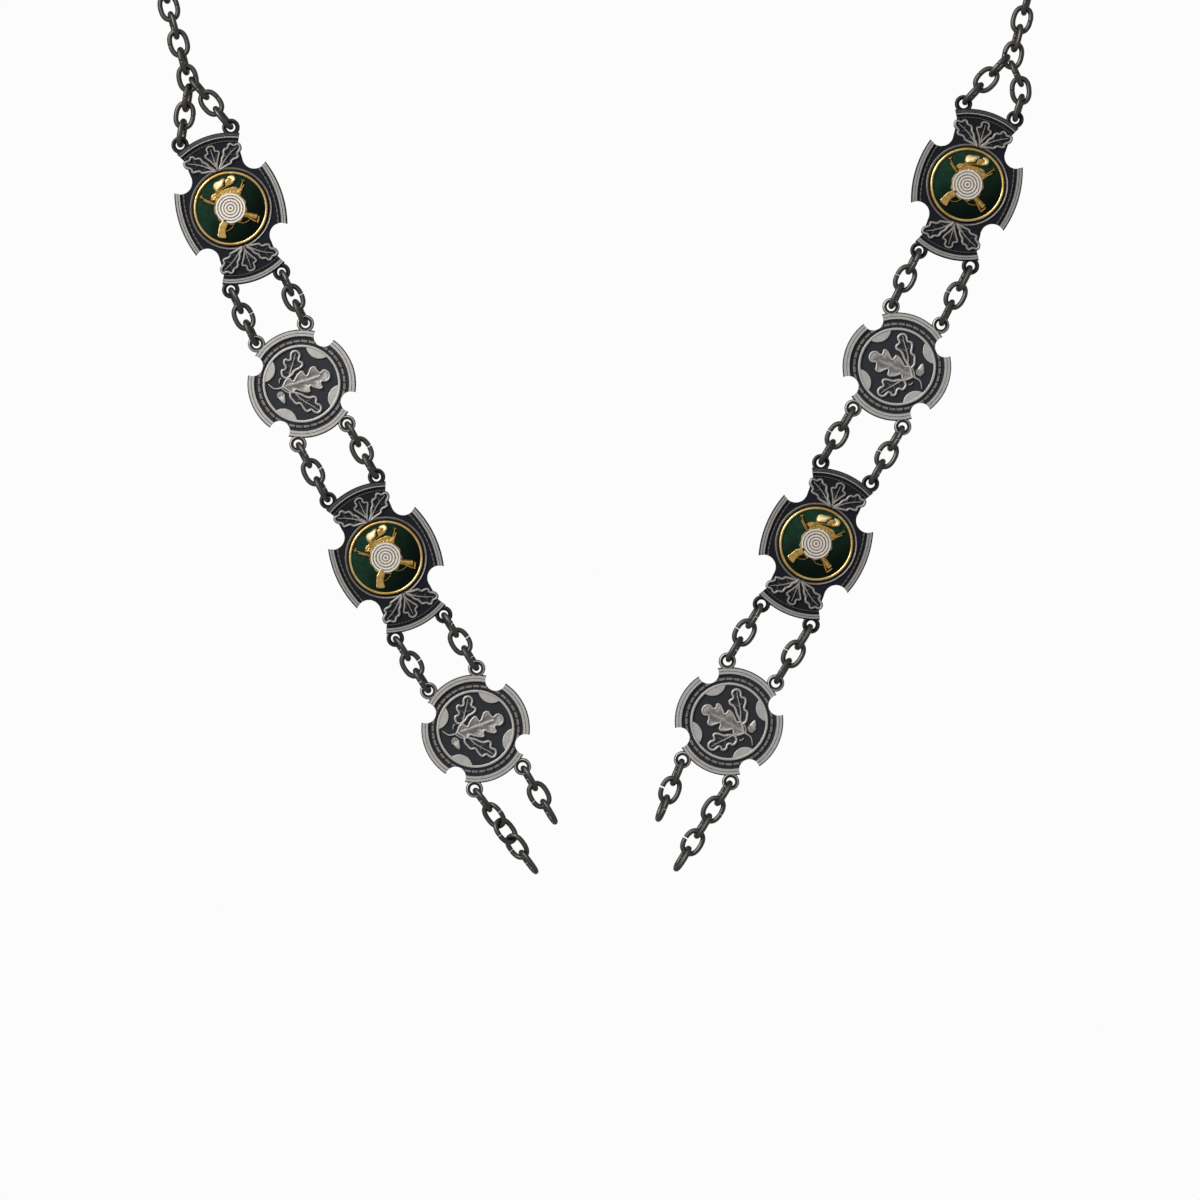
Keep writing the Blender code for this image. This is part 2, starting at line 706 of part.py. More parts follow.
def lower_chain_mesh(chain):
    start = lug_point(strand(chain.side)[-1], chain.lug, upper=False)
    angle = math.radians(chain.inward_deg)
    way = Vector((-OUTWARD[chain.side] * math.sin(angle), 0, -math.cos(angle)))
    count = len(chain.turns)
    length = count * LINK_RUN - (count - 1) * LINK_LAP
    return fused(chain_links(start, start + way * length, chain.turns))


def add_part(collection, name, mesh, material, matrix=None):
    mesh.materials.clear()
    mesh.materials.append(material)
    obj = bpy.data.objects.new(name, mesh)
    if matrix is not None:
        obj.matrix_world = matrix
    collection.objects.link(obj)
    mesh.shade_smooth()
    mesh.set_sharp_from_angle(angle=SHARP_ANGLE)
    return obj


def add_castings(collection, silver, gold, green):
    cross = cross_plate_mesh()
    round_plate = round_plate_mesh()
    turned_round = round_plate.copy()
    turned_round.transform(Matrix.Rotation(math.pi, 4, "Z"))
    bezel = bezel_mesh()
    enamel = enamel_mesh()
    relief = emblem_relief_mesh()
    for plate in PLATES:
        place = casting_matrix(plate)
        label = f"{plate.side}_{plate.number}"
        if plate.kind == "round":
            mesh = round_plate if plate.side == "left" else turned_round
            add_part(collection, f"round_plate_{label}", mesh, silver, place)
            continue
        add_part(collection, f"cross_plate_{label}", cross, silver, place)
        add_part(collection, f"bezel_{label}", bezel, gold, place)
        add_part(collection, f"enamel_{label}", enamel, green, place)
        add_part(collection, f"emblem_relief_{label}", relief, gold, place)


def add_chains(collection, steel):
    for side in OUTWARD:
        add_part(collection, f"neck_chain_{side}", neck_chain_mesh(side), steel)
        add_part(collection, f"upper_chain_{side}", upper_chain_mesh(side), steel)
        plates = strand(side)
        for number, (above, below) in enumerate(zip(plates, plates[1:]), start=1):
            for lug in ("outer", "inner"):
                start = lug_point(above, lug, upper=False)
                end = lug_point(below, lug, upper=True)
                mesh = fused(chain_links(start, end, gap_turns()))
                add_part(collection, f"gap_chain_{side}_{number}_{lug}", mesh, steel)
    for chain in LOWER_CHAINS:
        name = f"lower_chain_{chain.side}_{chain.lug}"
        add_part(collection, name, lower_chain_mesh(chain), steel)


def neck_ring_mesh():
    line = (RING_DIAMETER - RING_WIRE) / 2
    section = full_turn((line, 0), RING_WIRE / 2, WIRE_SIDES)
    mesh = turned([(p.x, p.y) for p in section], RING_SIDES, ring=True)
    mesh.transform(Matrix.Rotation(math.radians(90), 4, "X"))
    return mesh


def main():
    clear_scene()
    collection = bpy.data.collections.new(NAME)
    bpy.context.scene.collection.children.link(collection)
    silver = make_material(SILVER)
    steel = make_material(STEEL)
    gold = make_material(GOLD)
    green = make_material(GREEN)
    add_part(collection, "neck_ring", neck_ring_mesh(), steel)
    add_chains(collection, steel)
    add_castings(collection, silver, gold, green)


main()
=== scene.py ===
"""Looks of a shooting guild chain: cast plates, enamel emblems and blackened link chains.

Each sub-assembly is a class that keeps its sizes in millimetres and builds its own pieces round
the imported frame. A casting's own frame has X across it, Y up it and Z out of its face, with
Z = 0 on the sunk field. The camera looks along +Y, as the photograph does.
"""

import logging
import math
from dataclasses import dataclass, replace
from enum import Enum, IntEnum
from typing import Callable, Iterable, Sequence

import bmesh
import bpy
from mathutils import Matrix, Vector


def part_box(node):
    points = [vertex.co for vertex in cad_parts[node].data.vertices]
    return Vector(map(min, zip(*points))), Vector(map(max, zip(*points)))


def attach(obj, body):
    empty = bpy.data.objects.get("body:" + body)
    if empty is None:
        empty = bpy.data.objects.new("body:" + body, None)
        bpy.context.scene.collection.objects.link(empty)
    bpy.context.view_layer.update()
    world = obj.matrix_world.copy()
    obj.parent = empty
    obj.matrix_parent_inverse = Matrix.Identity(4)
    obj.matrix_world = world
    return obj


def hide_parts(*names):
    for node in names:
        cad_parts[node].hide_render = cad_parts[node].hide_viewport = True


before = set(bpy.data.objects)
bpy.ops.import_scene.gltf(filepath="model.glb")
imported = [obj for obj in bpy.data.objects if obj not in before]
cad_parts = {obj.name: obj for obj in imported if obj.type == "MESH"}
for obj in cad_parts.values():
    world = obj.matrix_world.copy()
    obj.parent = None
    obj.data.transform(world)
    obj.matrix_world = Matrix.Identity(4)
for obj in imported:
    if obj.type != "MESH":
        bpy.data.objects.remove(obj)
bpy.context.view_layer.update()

LOG = logging.getLogger("guild_chain")
MM = 0.001
BODY = "root"
WIRE_MAP = "wire"
# Direction of the upper left, where the key light stands; the enamel's painted sheen lies towards it, and the
# hat's crown slopes down towards it.
UPPER_LEFT = (-0.62, 0.78)
CAST_SHARP_DEG = 42.0
WIRE_SHARP_DEG = 50.0
FOOT = -0.2

Ring = list[Vector]
Outline = Sequence[Sequence[float]]


class Side(Enum):
    """Strand of the chain, as seen by the viewer, with the sign of its X."""

    LEFT = -1
    RIGHT = 1

    @property
    def label(self) -> str:
        """Word used in node names."""
        return self.name.lower()


class Kind(Enum):
    """Pattern a plate was cast from."""

    CROSS = "cross"
    ROUND = "round"


class Turn(Enum):
    """How a link lies about its own length, in degrees from facing the viewer.

    The links that show their edge are rolled a little to one side or the other, as play in the
    chain lets them.
    """

    FACE_ON = 0.0
    EDGE_ON = 79.0
    EDGE_BACK = 101.0
    ROLLED_LEFT = -32.0
    ROLLED_RIGHT = 32.0


class CrossFinish(IntEnum):
    """Numbers of a cross casting's materials."""

    SILVER = 0
    DEEP_TONE = 1


class BadgeFinish(IntEnum):
    """Numbers of a badge's materials."""

    GILT = 0
    MATT = 1
    # The hat's paler gilt, partly a painted highlight.
    PALE = 2


class Slot(Enum):
    """Material slots of the record."""

    STEEL = "steel_chain"
    SILVER = "silver_casting"
    GILT = "gilt_trim"
    ENAMEL = "green_enamel"


def linear(hex_colour: str) -> tuple[float, float, float, float]:
    """Turns an sRGB hex colour into linear RGBA.

    Args:
        hex_colour: Six hex digits after a hash.

    Returns:
        Linear red, green and blue, with full alpha.
    """
    channels = [int(hex_colour[i:i + 2], 16) / 255 for i in (1, 3, 5)]
    red, green, blue = [c / 12.92 if c <= 0.04045 else ((c + 0.055) / 1.055) ** 2.4 for c in channels]
    return red, green, blue, 1.0


def add_node(
    tree: bpy.types.NodeTree, kind: str, settings: dict | None = None, inputs: dict | None = None
) -> bpy.types.Node:
    """Adds a node, sets its properties and fills its sockets.

    Args:
        tree: Node tree that takes the node.
        kind: Blender's name of the node type.
        settings: Properties by name.
        inputs: Socket names or numbers, with a value or with the output socket to link.

    Returns:
        The new node.
    """
    node = tree.nodes.new(kind)
    for name, value in (settings or {}).items():
        setattr(node, name, value)
    for name, value in (inputs or {}).items():
        if isinstance(value, bpy.types.NodeSocket):
            tree.links.new(value, node.inputs[name])
        else:
            node.inputs[name].default_value = value
    return node


def start_material(name: str, metallic: float, roughness: float) -> tuple:
    """Makes a material with one Principled shader.

    Args:
        name: Name of the finish.
        metallic: Metallic value.
        roughness: Roughness where nothing varies it.

    Returns:
        The material, its node tree and the shader.
    """
    material = bpy.data.materials.new(name)
    material.use_nodes = True
    tree = material.node_tree
    shader = tree.nodes["Principled BSDF"]
    shader.inputs["Metallic"].default_value = metallic
    shader.inputs["Roughness"].default_value = roughness
    return material, tree, shader


def grain(
    tree: bpy.types.NodeTree, place: bpy.types.NodeSocket, size_mm: float, detail: float
) -> bpy.types.NodeSocket:
    """Adds a noise whose blotches have a real size.

    Args:
        tree: Node tree.
        place: Coordinates in metres.
        size_mm: Width of one blotch.
        detail: Octaves of finer noise.

    Returns:
        The noise factor.
    """
    noise = add_node(tree, "ShaderNodeTexNoise", inputs={
        "Vector": place, "Scale": 1 / (size_mm * MM), "Detail": detail,
    })
    return noise.outputs["Fac"]


def blend_colour(
    tree: bpy.types.NodeTree, factor: bpy.types.NodeSocket, low: object, high: object
) -> bpy.types.NodeSocket:
    """Adds a colour mix.

    Args:
        tree: Node tree.
        factor: How much of the high colour shows.
        low: Colour or socket at 0.
        high: Colour or socket at 1.

    Returns:
        The mixed colour.
    """
    mix = add_node(tree, "ShaderNodeMix", {"data_type": "RGBA"}, {0: factor, 6: low, 7: high})
    return mix.outputs[2]


def stretch(
    tree: bpy.types.NodeTree, value: bpy.types.NodeSocket, span: tuple[float, float],
    onto: tuple[float, float],
) -> bpy.types.NodeSocket:
    """Adds a clamped smooth map from one range to another.

    Args:
        tree: Node tree.
        value: Value to map.
        span: Range that is read.
        onto: Range that is given.

    Returns:
        The mapped value.
    """
    node = add_node(tree, "ShaderNodeMapRange", {"interpolation_type": "SMOOTHSTEP"}, {
        "Value": value, "From Min": span[0], "From Max": span[1], "To Min": onto[0], "To Max": onto[1],
    })
    return node.outputs["Result"]


def combine(tree: bpy.types.NodeTree, operation: str, first: object, second: object) -> bpy.types.NodeSocket:
    """Adds a clamped maths node.

    Args:
        tree: Node tree.
        operation: Blender's name of the operation.
        first: First value or socket.
        second: Second value or socket.

    Returns:
        The result.
    """
    settings = {"operation": operation, "use_clamp": True}
    node = add_node(tree, "ShaderNodeMath", settings, {0: first, 1: second})
    return node.outputs[0]


def add_bump(
    tree: bpy.types.NodeTree, shader: bpy.types.Node, height: bpy.types.NodeSocket, strength: float,
    depth_mm: float,
) -> None:
    """Roughens a shader's surface by a height.

    Args:
        tree: Node tree.
        shader: Shader that takes it.
        height: Height from 0 to 1.
        strength: Share of the roughening that is kept.
        depth_mm: Depth of the full height.
    """
    bump = add_node(tree, "ShaderNodeBump", inputs={
        "Strength": strength, "Distance": depth_mm * MM, "Height": height,
    })
    tree.links.new(bump.outputs["Normal"], shader.inputs["Normal"])


@dataclass(frozen=True)
class AntiqueSilver:
    """Cast zinc, silver-plated, blackened and rubbed back.

    The sulphide stays in every recess, so relief reads as pale satin lines on blue-black, and
    the rubbed tops are soft and slightly streaked, not mirror bright.
    """

    name: str = "antique_silver"
    recess: str = "#222328"
    shade: str = "#5A5855"
    rubbed: str = "#9B9792"
    dark_below_mm: float = 0.10
    bright_above_mm: float = 0.80
    recess_roughness: float = 0.60
    rubbed_roughness: float = 0.54
    blotch_mm: float = 2.2
    cast_grain_mm: float = 0.5
    cast_depth_mm: float = 0.02

    def material(self) -> bpy.types.Material:
        """Builds the node material, shaded by the height in the casting's own frame.

        Returns:
            The material.
        """
        material, tree, shader = start_material(self.name, 1.0, self.rubbed_roughness)
        place = add_node(tree, "ShaderNodeTexCoord").outputs["Object"]
        height = add_node(tree, "ShaderNodeSeparateXYZ", inputs={0: place}).outputs["Z"]
        rubbed = stretch(tree, height, (self.dark_below_mm * MM, self.bright_above_mm * MM), (0.0, 1.0))
        blotches = grain(tree, place, self.blotch_mm, 3.0)
        kept = stretch(tree, blotches, (0.30, 0.62), (0.86, 1.0))
        shine = combine(tree, "MULTIPLY", rubbed, kept)
        low = stretch(tree, shine, (0.0, 0.5), (0.0, 1.0))
        high = stretch(tree, shine, (0.4, 1.0), (0.0, 1.0))
        dull = blend_colour(tree, low, linear(self.recess), linear(self.shade))
        colour = blend_colour(tree, high, dull, linear(self.rubbed))
        rough = stretch(tree, shine, (0.0, 1.0), (self.recess_roughness, self.rubbed_roughness))
        add_bump(tree, shader, grain(tree, place, self.cast_grain_mm, 2.0), 0.5, self.cast_depth_mm)
        tree.links.new(colour, shader.inputs["Base Color"])
        tree.links.new(rough, shader.inputs["Roughness"])
        return material


@dataclass(frozen=True)
class BlackenedSteel:
    """Drawn steel wire, bent into links and blackened.

    The oxide is a warm dark grey, and drawing the wire left fine streaks along it that catch
    the light as thin paler lines.
    """

    name: str = "blackened_steel_wire"
    oxide: str = "#45433F"
    worn: str = "#625E59"
    streak_width_mm: float = 0.55
    streak_length_mm: float = 9.0
    streak_depth_mm: float = 0.015
    patch_mm: float = 4.0
    roughness: float = 0.38
    oxide_roughness: float = 0.50

    def material(self) -> bpy.types.Material:
        """Builds the node material on the wire map, whose U runs along the wire.

        Returns:
            The material.
        """
        material, tree, shader = start_material(self.name, 1.0, self.roughness)
        wire = add_node(tree, "ShaderNodeUVMap", {"uv_map": WIRE_MAP}).outputs["UV"]
        scale = (1 / (self.streak_length_mm * MM), 1 / (self.streak_width_mm * MM), 1.0)
        run = add_node(tree, "ShaderNodeMapping", inputs={"Vector": wire, "Scale": scale})
        noise = add_node(tree, "ShaderNodeTexNoise", inputs={
            "Vector": run.outputs["Vector"], "Scale": 1.0, "Detail": 2.0,
        })
        streak = stretch(tree, noise.outputs["Fac"], (0.30, 0.75), (0.0, 1.0))
        place = add_node(tree, "ShaderNodeTexCoord").outputs["Object"]
        patch = stretch(tree, grain(tree, place, self.patch_mm, 2.0), (0.30, 0.70), (0.75, 1.0))
        worn = combine(tree, "MULTIPLY", streak, patch)
        colour = blend_colour(tree, worn, linear(self.oxide), linear(self.worn))
        rough = stretch(tree, worn, (0.0, 1.0), (self.oxide_roughness, self.roughness))
        add_bump(tree, shader, noise.outputs["Fac"], 0.2, self.streak_depth_mm)
        tree.links.new(colour, shader.inputs["Base Color"])
        tree.links.new(rough, shader.inputs["Roughness"])
        return material


@dataclass(frozen=True)
class GiltBrass:
    """Stamped brass with a thin gilding: bright in patches, ochre where it is matt."""

    name: str = "gilt_brass"
    bright: str = "#CDAB69"
    matt: str = "#997535"
    roughness: float = 0.32
    matt_extra: float = 0.12
    patch_mm: float = 1.4
    grain_mm: float = 0.3
    grain_depth_mm: float = 0.015

    def material(self) -> bpy.types.Material:
        """Builds the node material.

        Returns:
            The material.
        """
        material, tree, shader = start_material(self.name, 1.0, self.roughness)
        place = add_node(tree, "ShaderNodeTexCoord").outputs["Object"]
        patch = stretch(tree, grain(tree, place, self.patch_mm, 4.0), (0.35, 0.65), (0.0, 1.0))
        colour = blend_colour(tree, patch, linear(self.matt), linear(self.bright))
        rough = stretch(tree, patch, (0.0, 1.0), (self.roughness + self.matt_extra, self.roughness))
        add_bump(tree, shader, grain(tree, place, self.grain_mm, 2.0), 0.15, self.grain_depth_mm)
        tree.links.new(colour, shader.inputs["Base Color"])
        tree.links.new(rough, shader.inputs["Roughness"])
        return material


@dataclass(frozen=True)
class FiredEnamel:
    """Deep green translucent enamel, fired and polished to a glossy, faintly clouded dome.

    Its colour is painted nearly black towards the lower right, as painted shade, and green
    towards the upper left, as a painted sheen of the light from there.
    """

    name: str = "fired_green_enamel"
    # deep and light are the two ends of the painted shade and painted sheen, and of the clouding.
    deep: str = "#010804"
    light: str = "#1A3828"
    roughness: float = 0.40
    coat: float = 0.08
    coat_roughness: float = 0.20
    disc_mm: float = 12.6
    cloud_mm: float = 2.6
    grit_mm: float = 0.35
    specular: float = 0.02

    def material(self) -> bpy.types.Material:
        """Builds the node material.

        Returns:
            The material.
        """
        material, tree, shader = start_material(self.name, 0.0, self.roughness)
        shader.inputs["Specular IOR Level"].default_value = self.specular
        shader.inputs["Coat Weight"].default_value = self.coat
        shader.inputs["Coat Roughness"].default_value = self.coat_roughness
        place = add_node(tree, "ShaderNodeTexCoord").outputs["Object"]
        # Painted sheen and painted shade: lighter towards the upper left, where the key light stands, and
        # near black towards the lower right. thin is this painted sheen, not a thinner layer; cloud and grit
        # are the enamel's own mottling.
        aside = add_node(tree, "ShaderNodeVectorMath", {"operation": "DOT_PRODUCT"}, {
            0: place, 1: (*UPPER_LEFT, 0.0),
        })
        reach = self.disc_mm * MM
        thin = stretch(tree, aside.outputs["Value"], (-0.9 * reach, 1.0 * reach), (0.0, 1.0))
        cloud = stretch(tree, grain(tree, place, self.cloud_mm, 2.0), (0.25, 0.75), (0.55, 1.0))
        grit = stretch(tree, grain(tree, place, self.grit_mm, 2.0), (0.35, 0.75), (0.75, 1.0))
        light = combine(tree, "MULTIPLY", combine(tree, "MULTIPLY", thin, cloud), grit)
        colour = blend_colour(tree, light, linear(self.deep), linear(self.light))
        tree.links.new(colour, shader.inputs["Base Color"])
        return material


@dataclass(frozen=True)
class SatinSilver:
    """Matt silver plating on the stamped target, pale and without black in it."""

    name: str = "satin_silver_plate"
    light: str = "#E0DEDC"
    shade: str = "#CBC9C7"
    roughness: float = 0.50
    grain_mm: float = 0.25
    grain_depth_mm: float = 0.01

    def material(self) -> bpy.types.Material:
        """Builds the node material.

        Returns:
            The material.
        """
        material, tree, shader = start_material(self.name, 1.0, self.roughness)
        place = add_node(tree, "ShaderNodeTexCoord").outputs["Object"]
        fine = grain(tree, place, self.grain_mm, 2.0)
        patch = stretch(tree, fine, (0.3, 0.7), (0.0, 1.0))
        colour = blend_colour(tree, patch, linear(self.shade), linear(self.light))
        add_bump(tree, shader, fine, 0.15, self.grain_depth_mm)
        tree.links.new(colour, shader.inputs["Base Color"])
        return material


class Finishes:
    """Every material of the chain, made once."""

    def __init__(self) -> None:
        """Makes the materials."""
        self.silver = AntiqueSilver().material()
        # A paler copy for the round castings: lighter recesses and lighter tops than on the crosses.
        self.rubbed = AntiqueSilver(
            name="antique_silver_well_rubbed", recess="#36373B", rubbed="#B1ADA8",
        ).material()
        # Darker silver for each cross's upper outer band and its eyes.
        self.deep_tone = AntiqueSilver(
            name="antique_silver_left_dark", shade="#44423F", rubbed="#6A6764",
        ).material()
        self.steel = BlackenedSteel().material()
        self.gilt = GiltBrass().material()
        self.matt_gilt = GiltBrass(
            name="matt_gilt", bright="#A78E5A", matt="#8F7748", roughness=0.48,
        ).material()
        # Paler gilt for the hat and plume: partly a smoother finish, partly a painted highlight where they
        # face the light.
        self.pale_gilt = GiltBrass(
            name="bright_gilt", bright="#C9B98E", matt="#BAA473", roughness=0.46,
        ).material()
        self.polished_gilt = GiltBrass(
            name="polished_gilt", bright="#E4C88A", matt="#B9954F", roughness=0.30, patch_mm=6.0,
        ).material()
        self.enamel = FiredEnamel().material()
        self.satin = SatinSilver().material()


def flat(x: float, y: float, z: float = 0.0) -> Vector:
    """Makes a point."""
    return Vector((x, y, z))


def smooth_line(points: Outline, closed: bool, step: float) -> list[Vector]:
    """Runs a smooth curve through given points.

    Args:
        points: Points in the plane, in millimetres.
        closed: Whether the curve comes back to its first point.
        step: Spacing of the points given back.

    Returns:
        Evenly spaced points of a Catmull-Rom curve.
    """
    knots = [flat(p[0], p[1]) for p in points]
    if closed:
        knots = [knots[-1], *knots, knots[0], knots[1]]
    else:
        knots = [2 * knots[0] - knots[1], *knots, 2 * knots[-1] - knots[-2]]
    line = []
    for a, b, c, d in zip(knots, knots[1:], knots[2:], knots[3:]):
        count = max(1, round((c - b).length / step))
        for i in range(count):
            t = i / count
            line.append(0.5 * (
                2 * b + (c - a) * t + (2 * a - 5 * b + 4 * c - d) * t ** 2
                + (3 * b - a - 3 * c + d) * t ** 3
            ))
    if not closed:
        line.append(knots[-2])
    return line


def arc(centre: Vector, radius: float, start_deg: float, end_deg: float, steps: int) -> list[Vector]:
    """Lists points along an arc.

    Args:
        centre: Middle of the circle.
        radius: Radius in millimetres.
        start_deg: Angle of the first point.
        end_deg: Angle of the last point.
        steps: Number of spaces between the points.

    Returns:
        The points, one more than the steps.
    """
    angles = [math.radians(start_deg + (end_deg - start_deg) * i / steps) for i in range(steps + 1)]
    return [centre + flat(math.cos(a), math.sin(a)) * radius for a in angles]


def inset(line: Sequence[Vector], distance: float) -> list[Vector]:
    """Moves a closed outline inward.

    Args:
        line: Closed outline that runs anticlockwise.
        distance: How far in, in millimetres.

    Returns:
        The moved outline, with as many points.
    """
    moved = []
    for before, here, after in zip([line[-1], *line[:-1]], line, [*line[1:], line[0]]):
        run = (after - before).normalized()
        moved.append(here + flat(-run.y, run.x) * distance)
    return moved


def anticlockwise(line: Sequence[Vector]) -> list[Vector]:
    """Gives a closed outline the direction that the other helpers expect."""
    area = sum(a.x * b.y - b.x * a.y for a, b in zip(line, [*line[1:], line[0]]))
    return list(line) if area > 0 else list(reversed(line))


def rounded_levels(low: float, high: float, edge: float) -> tuple[tuple[float, float], ...]:
    """Lists the levels of a flat solid whose upper edge is rounded.

    Args:
        low: Height of its back.
        high: Height of its face.
        edge: Radius of the rounded edge.

    Returns:
        How far inside the outline each level runs, with its height.
    """
    return (0.0, low), (0.0, high - edge), (edge * 0.3, high - edge * 0.3), (edge, high), (edge * 2, high)


def four_corners(x: float, y: float) -> list[Vector]:
    """Lists a point's images in the four quarters of a casting."""
    return [flat(sx * x, sy * y) for sx in (-1, 1) for sy in (-1, 1)]


class Relief:
    """Closed shells in a casting's own frame, in millimetres, that end up as one mesh."""

    def __init__(self) -> None:
        """Starts with nothing."""
        self.points: list[Vector] = []
        self.faces: list[tuple[int, ...]] = []
        self.finishes: list[int] = []
        self.wire_map: list[tuple[float, float] | None] = []

    def loft(
        self, rings: Sequence[Ring], around: bool = False, finish: int = 0,
        uvs: Sequence[Sequence[tuple[float, float]]] | None = None,
    ) -> None:
        """Adds the skin through rings that have the same number of points.

        Args:
            rings: Closed rings in order.
            around: Whether the last ring joins the first; otherwise both ends get a cap.
            finish: Number of the material.
            uvs: Place on the wire map for each point, one column and row more than the rings.
        """
        base = len(self.points)
        size = len(rings[0])
        for ring in rings:
            self.points.extend(ring)
        spans = len(rings) if around else len(rings) - 1
        for i in range(spans):
            j = (i + 1) % len(rings)
            for k in range(size):
                m = (k + 1) % size
                self.faces.append((
                    base + i * size + k, base + j * size + k, base + j * size + m, base + i * size + m,
                ))
                self.finishes.append(finish)
                if uvs:
                    self.wire_map.append((uvs[i][k], uvs[i + 1][k], uvs[i + 1][k + 1], uvs[i][k + 1]))
                else:
                    self.wire_map.append(None)
        if not around:
            last = base + (len(rings) - 1) * size
            for face in (tuple(range(base, base + size)), tuple(range(last + size - 1, last - 1, -1))):
                self.faces.append(face)
                self.finishes.append(finish)
                self.wire_map.append(None)

    def slab(self, line: Sequence[Vector], low: float, high: float, edge: float, finish: int = 0) -> None:
        """Adds a flat solid whose upper edge is rounded.

        Args:
            line: Closed outline.
            low: Height of its back.
            high: Height of its face.
            edge: Radius of the rounded edge.
            finish: Number of the material.
        """
        line = anticlockwise(line)
        self.loft([
            [p + flat(0, 0, height) for p in (inset(line, depth) if depth else line)]
            for depth, height in rounded_levels(low, high, edge)
        ], finish=finish)

    def turned(self, profile: Outline, centre: Vector, sides: int, finish: int = 0) -> None:
        """Adds a solid turned about an axis out of the face.

        Args:
            profile: Closed profile as radius and height.
            centre: Where the axis passes.
            sides: Number of facets round it.
            finish: Number of the material.
        """
        rings = []
        for i in range(sides):
            angle = 2 * math.pi * i / sides
            rings.append([
                centre + flat(r * math.cos(angle), r * math.sin(angle), z) for r, z in profile
            ])
        self.loft(rings, around=True, finish=finish)

    def ridge(
        self, line: Sequence[Vector], width: float, crest: float, foot: float,
        closed: bool = False, taper: float = 0.0,
    ) -> None:
        """Adds a rounded ridge along a line, as a cast outline or vein.

        Args:
            line: Points along its middle.
            width: Width at the foot.
            crest: Height of its top.
            foot: Height that it rises from; it is sunk a little below.
            closed: Whether the line comes back on itself.
            taper: Share of the width that is lost at the last point.
        """
        section = ((-0.5, -0.2), (-0.5, 0.15), (-0.36, 0.72), (-0.14, 0.97),
                   (0.14, 0.97), (0.36, 0.72), (0.5, 0.15), (0.5, -0.2))
        rings = []
        count = len(line)
        for i, here in enumerate(line):
            before = line[i - 1] if i or closed else here
            after = line[(i + 1) % count] if i < count - 1 or closed else here
            run = (after - before).normalized()
            across = flat(-run.y, run.x)
            size = width * (1 - taper * i / (count - 1))
            rise = (crest - foot) * (1 - 0.5 * taper * i / (count - 1))
            rings.append([here + across * size * x + flat(0, 0, foot + rise * y) for x, y in section])
        self.loft(rings, around=closed)

    def copy_turned(self, other: "Relief", matrix: Matrix) -> None:
        """Adds another relief's shells, moved by a matrix.

        Args:
            other: Relief that is copied.
            matrix: Turn or mirroring that moves it.
        """
        base = len(self.points)
        flipped = matrix.determinant() < 0
        self.points.extend(matrix @ p for p in other.points)
        for face in other.faces:
            moved = tuple(base + i for i in face)
            self.faces.append(moved[::-1] if flipped else moved)
        self.finishes.extend(other.finishes)
        self.wire_map.extend(other.wire_map)

    def mesh(self, name: str) -> bpy.types.Mesh:
        """Turns the shells into a mesh in metres.

        Args:
            name: Name of the mesh.

        Returns:
            The mesh, with doubled points merged.
        """
        mesh = bpy.data.meshes.new(name)
        mesh.from_pydata([p * MM for p in self.points], [], self.faces)
        mesh.polygons.foreach_set("material_index", self.finishes)
        if any(self.wire_map):
            layer = mesh.uv_layers.new(name=WIRE_MAP)
            for polygon, corners in zip(mesh.polygons, self.wire_map):
                for loop, corner in zip(polygon.loop_indices, corners or [(0.0, 0.0)] * polygon.loop_total):
                    layer.data[loop].uv = (corner[0] * MM, corner[1] * MM)
        work = bmesh.new()
        work.from_mesh(mesh)
        bmesh.ops.remove_doubles(work, verts=work.verts, dist=0.0005 * MM)
        bmesh.ops.dissolve_degenerate(work, edges=work.edges, dist=0.0002 * MM)
        bmesh.ops.recalc_face_normals(work, faces=work.faces)
        work.to_mesh(mesh)
        work.free()
        return mesh


def shade(mesh: bpy.types.Mesh, sharp_deg: float) -> None:
    """Shades a mesh smooth, keeping edges sharper than an angle."""
    mesh.shade_smooth()
    mesh.set_sharp_from_angle(angle=math.radians(sharp_deg))


def bitten(body: bpy.types.Mesh, tools: Iterable[bpy.types.Mesh]) -> bpy.types.Mesh:
    """Cuts other meshes out of a mesh.

    Args:
        body: Mesh that is worked.
        tools: Meshes that bite into it, one after another.

    Returns:
        The worked mesh.
    """
    objects = [bpy.data.objects.new("blank", body)]
    objects += [bpy.data.objects.new("tool", tool) for tool in tools]
    for obj in objects:
        bpy.context.scene.collection.objects.link(obj)
    for tool in objects[1:]:
        modifier = objects[0].modifiers.new("cut", "BOOLEAN")
        modifier.operation = "DIFFERENCE"
        modifier.object = tool
    depsgraph = bpy.context.evaluated_depsgraph_get()
    worked = bpy.data.meshes.new_from_object(objects[0].evaluated_get(depsgraph))
    for obj in objects:
        bpy.data.objects.remove(obj, do_unlink=True)
    return worked


def joined(meshes: Iterable[bpy.types.Mesh], name: str) -> bpy.types.Mesh:
    """Joins meshes of one casting into one.

    Args:
        meshes: Meshes in the casting's own frame.
        name: Name of the new mesh.

    Returns:
        The new mesh.
    """
    work = bmesh.new()
    for mesh in meshes:
        work.from_mesh(mesh)
    whole = bpy.data.meshes.new(name)
    work.to_mesh(whole)
    work.free()
    return whole


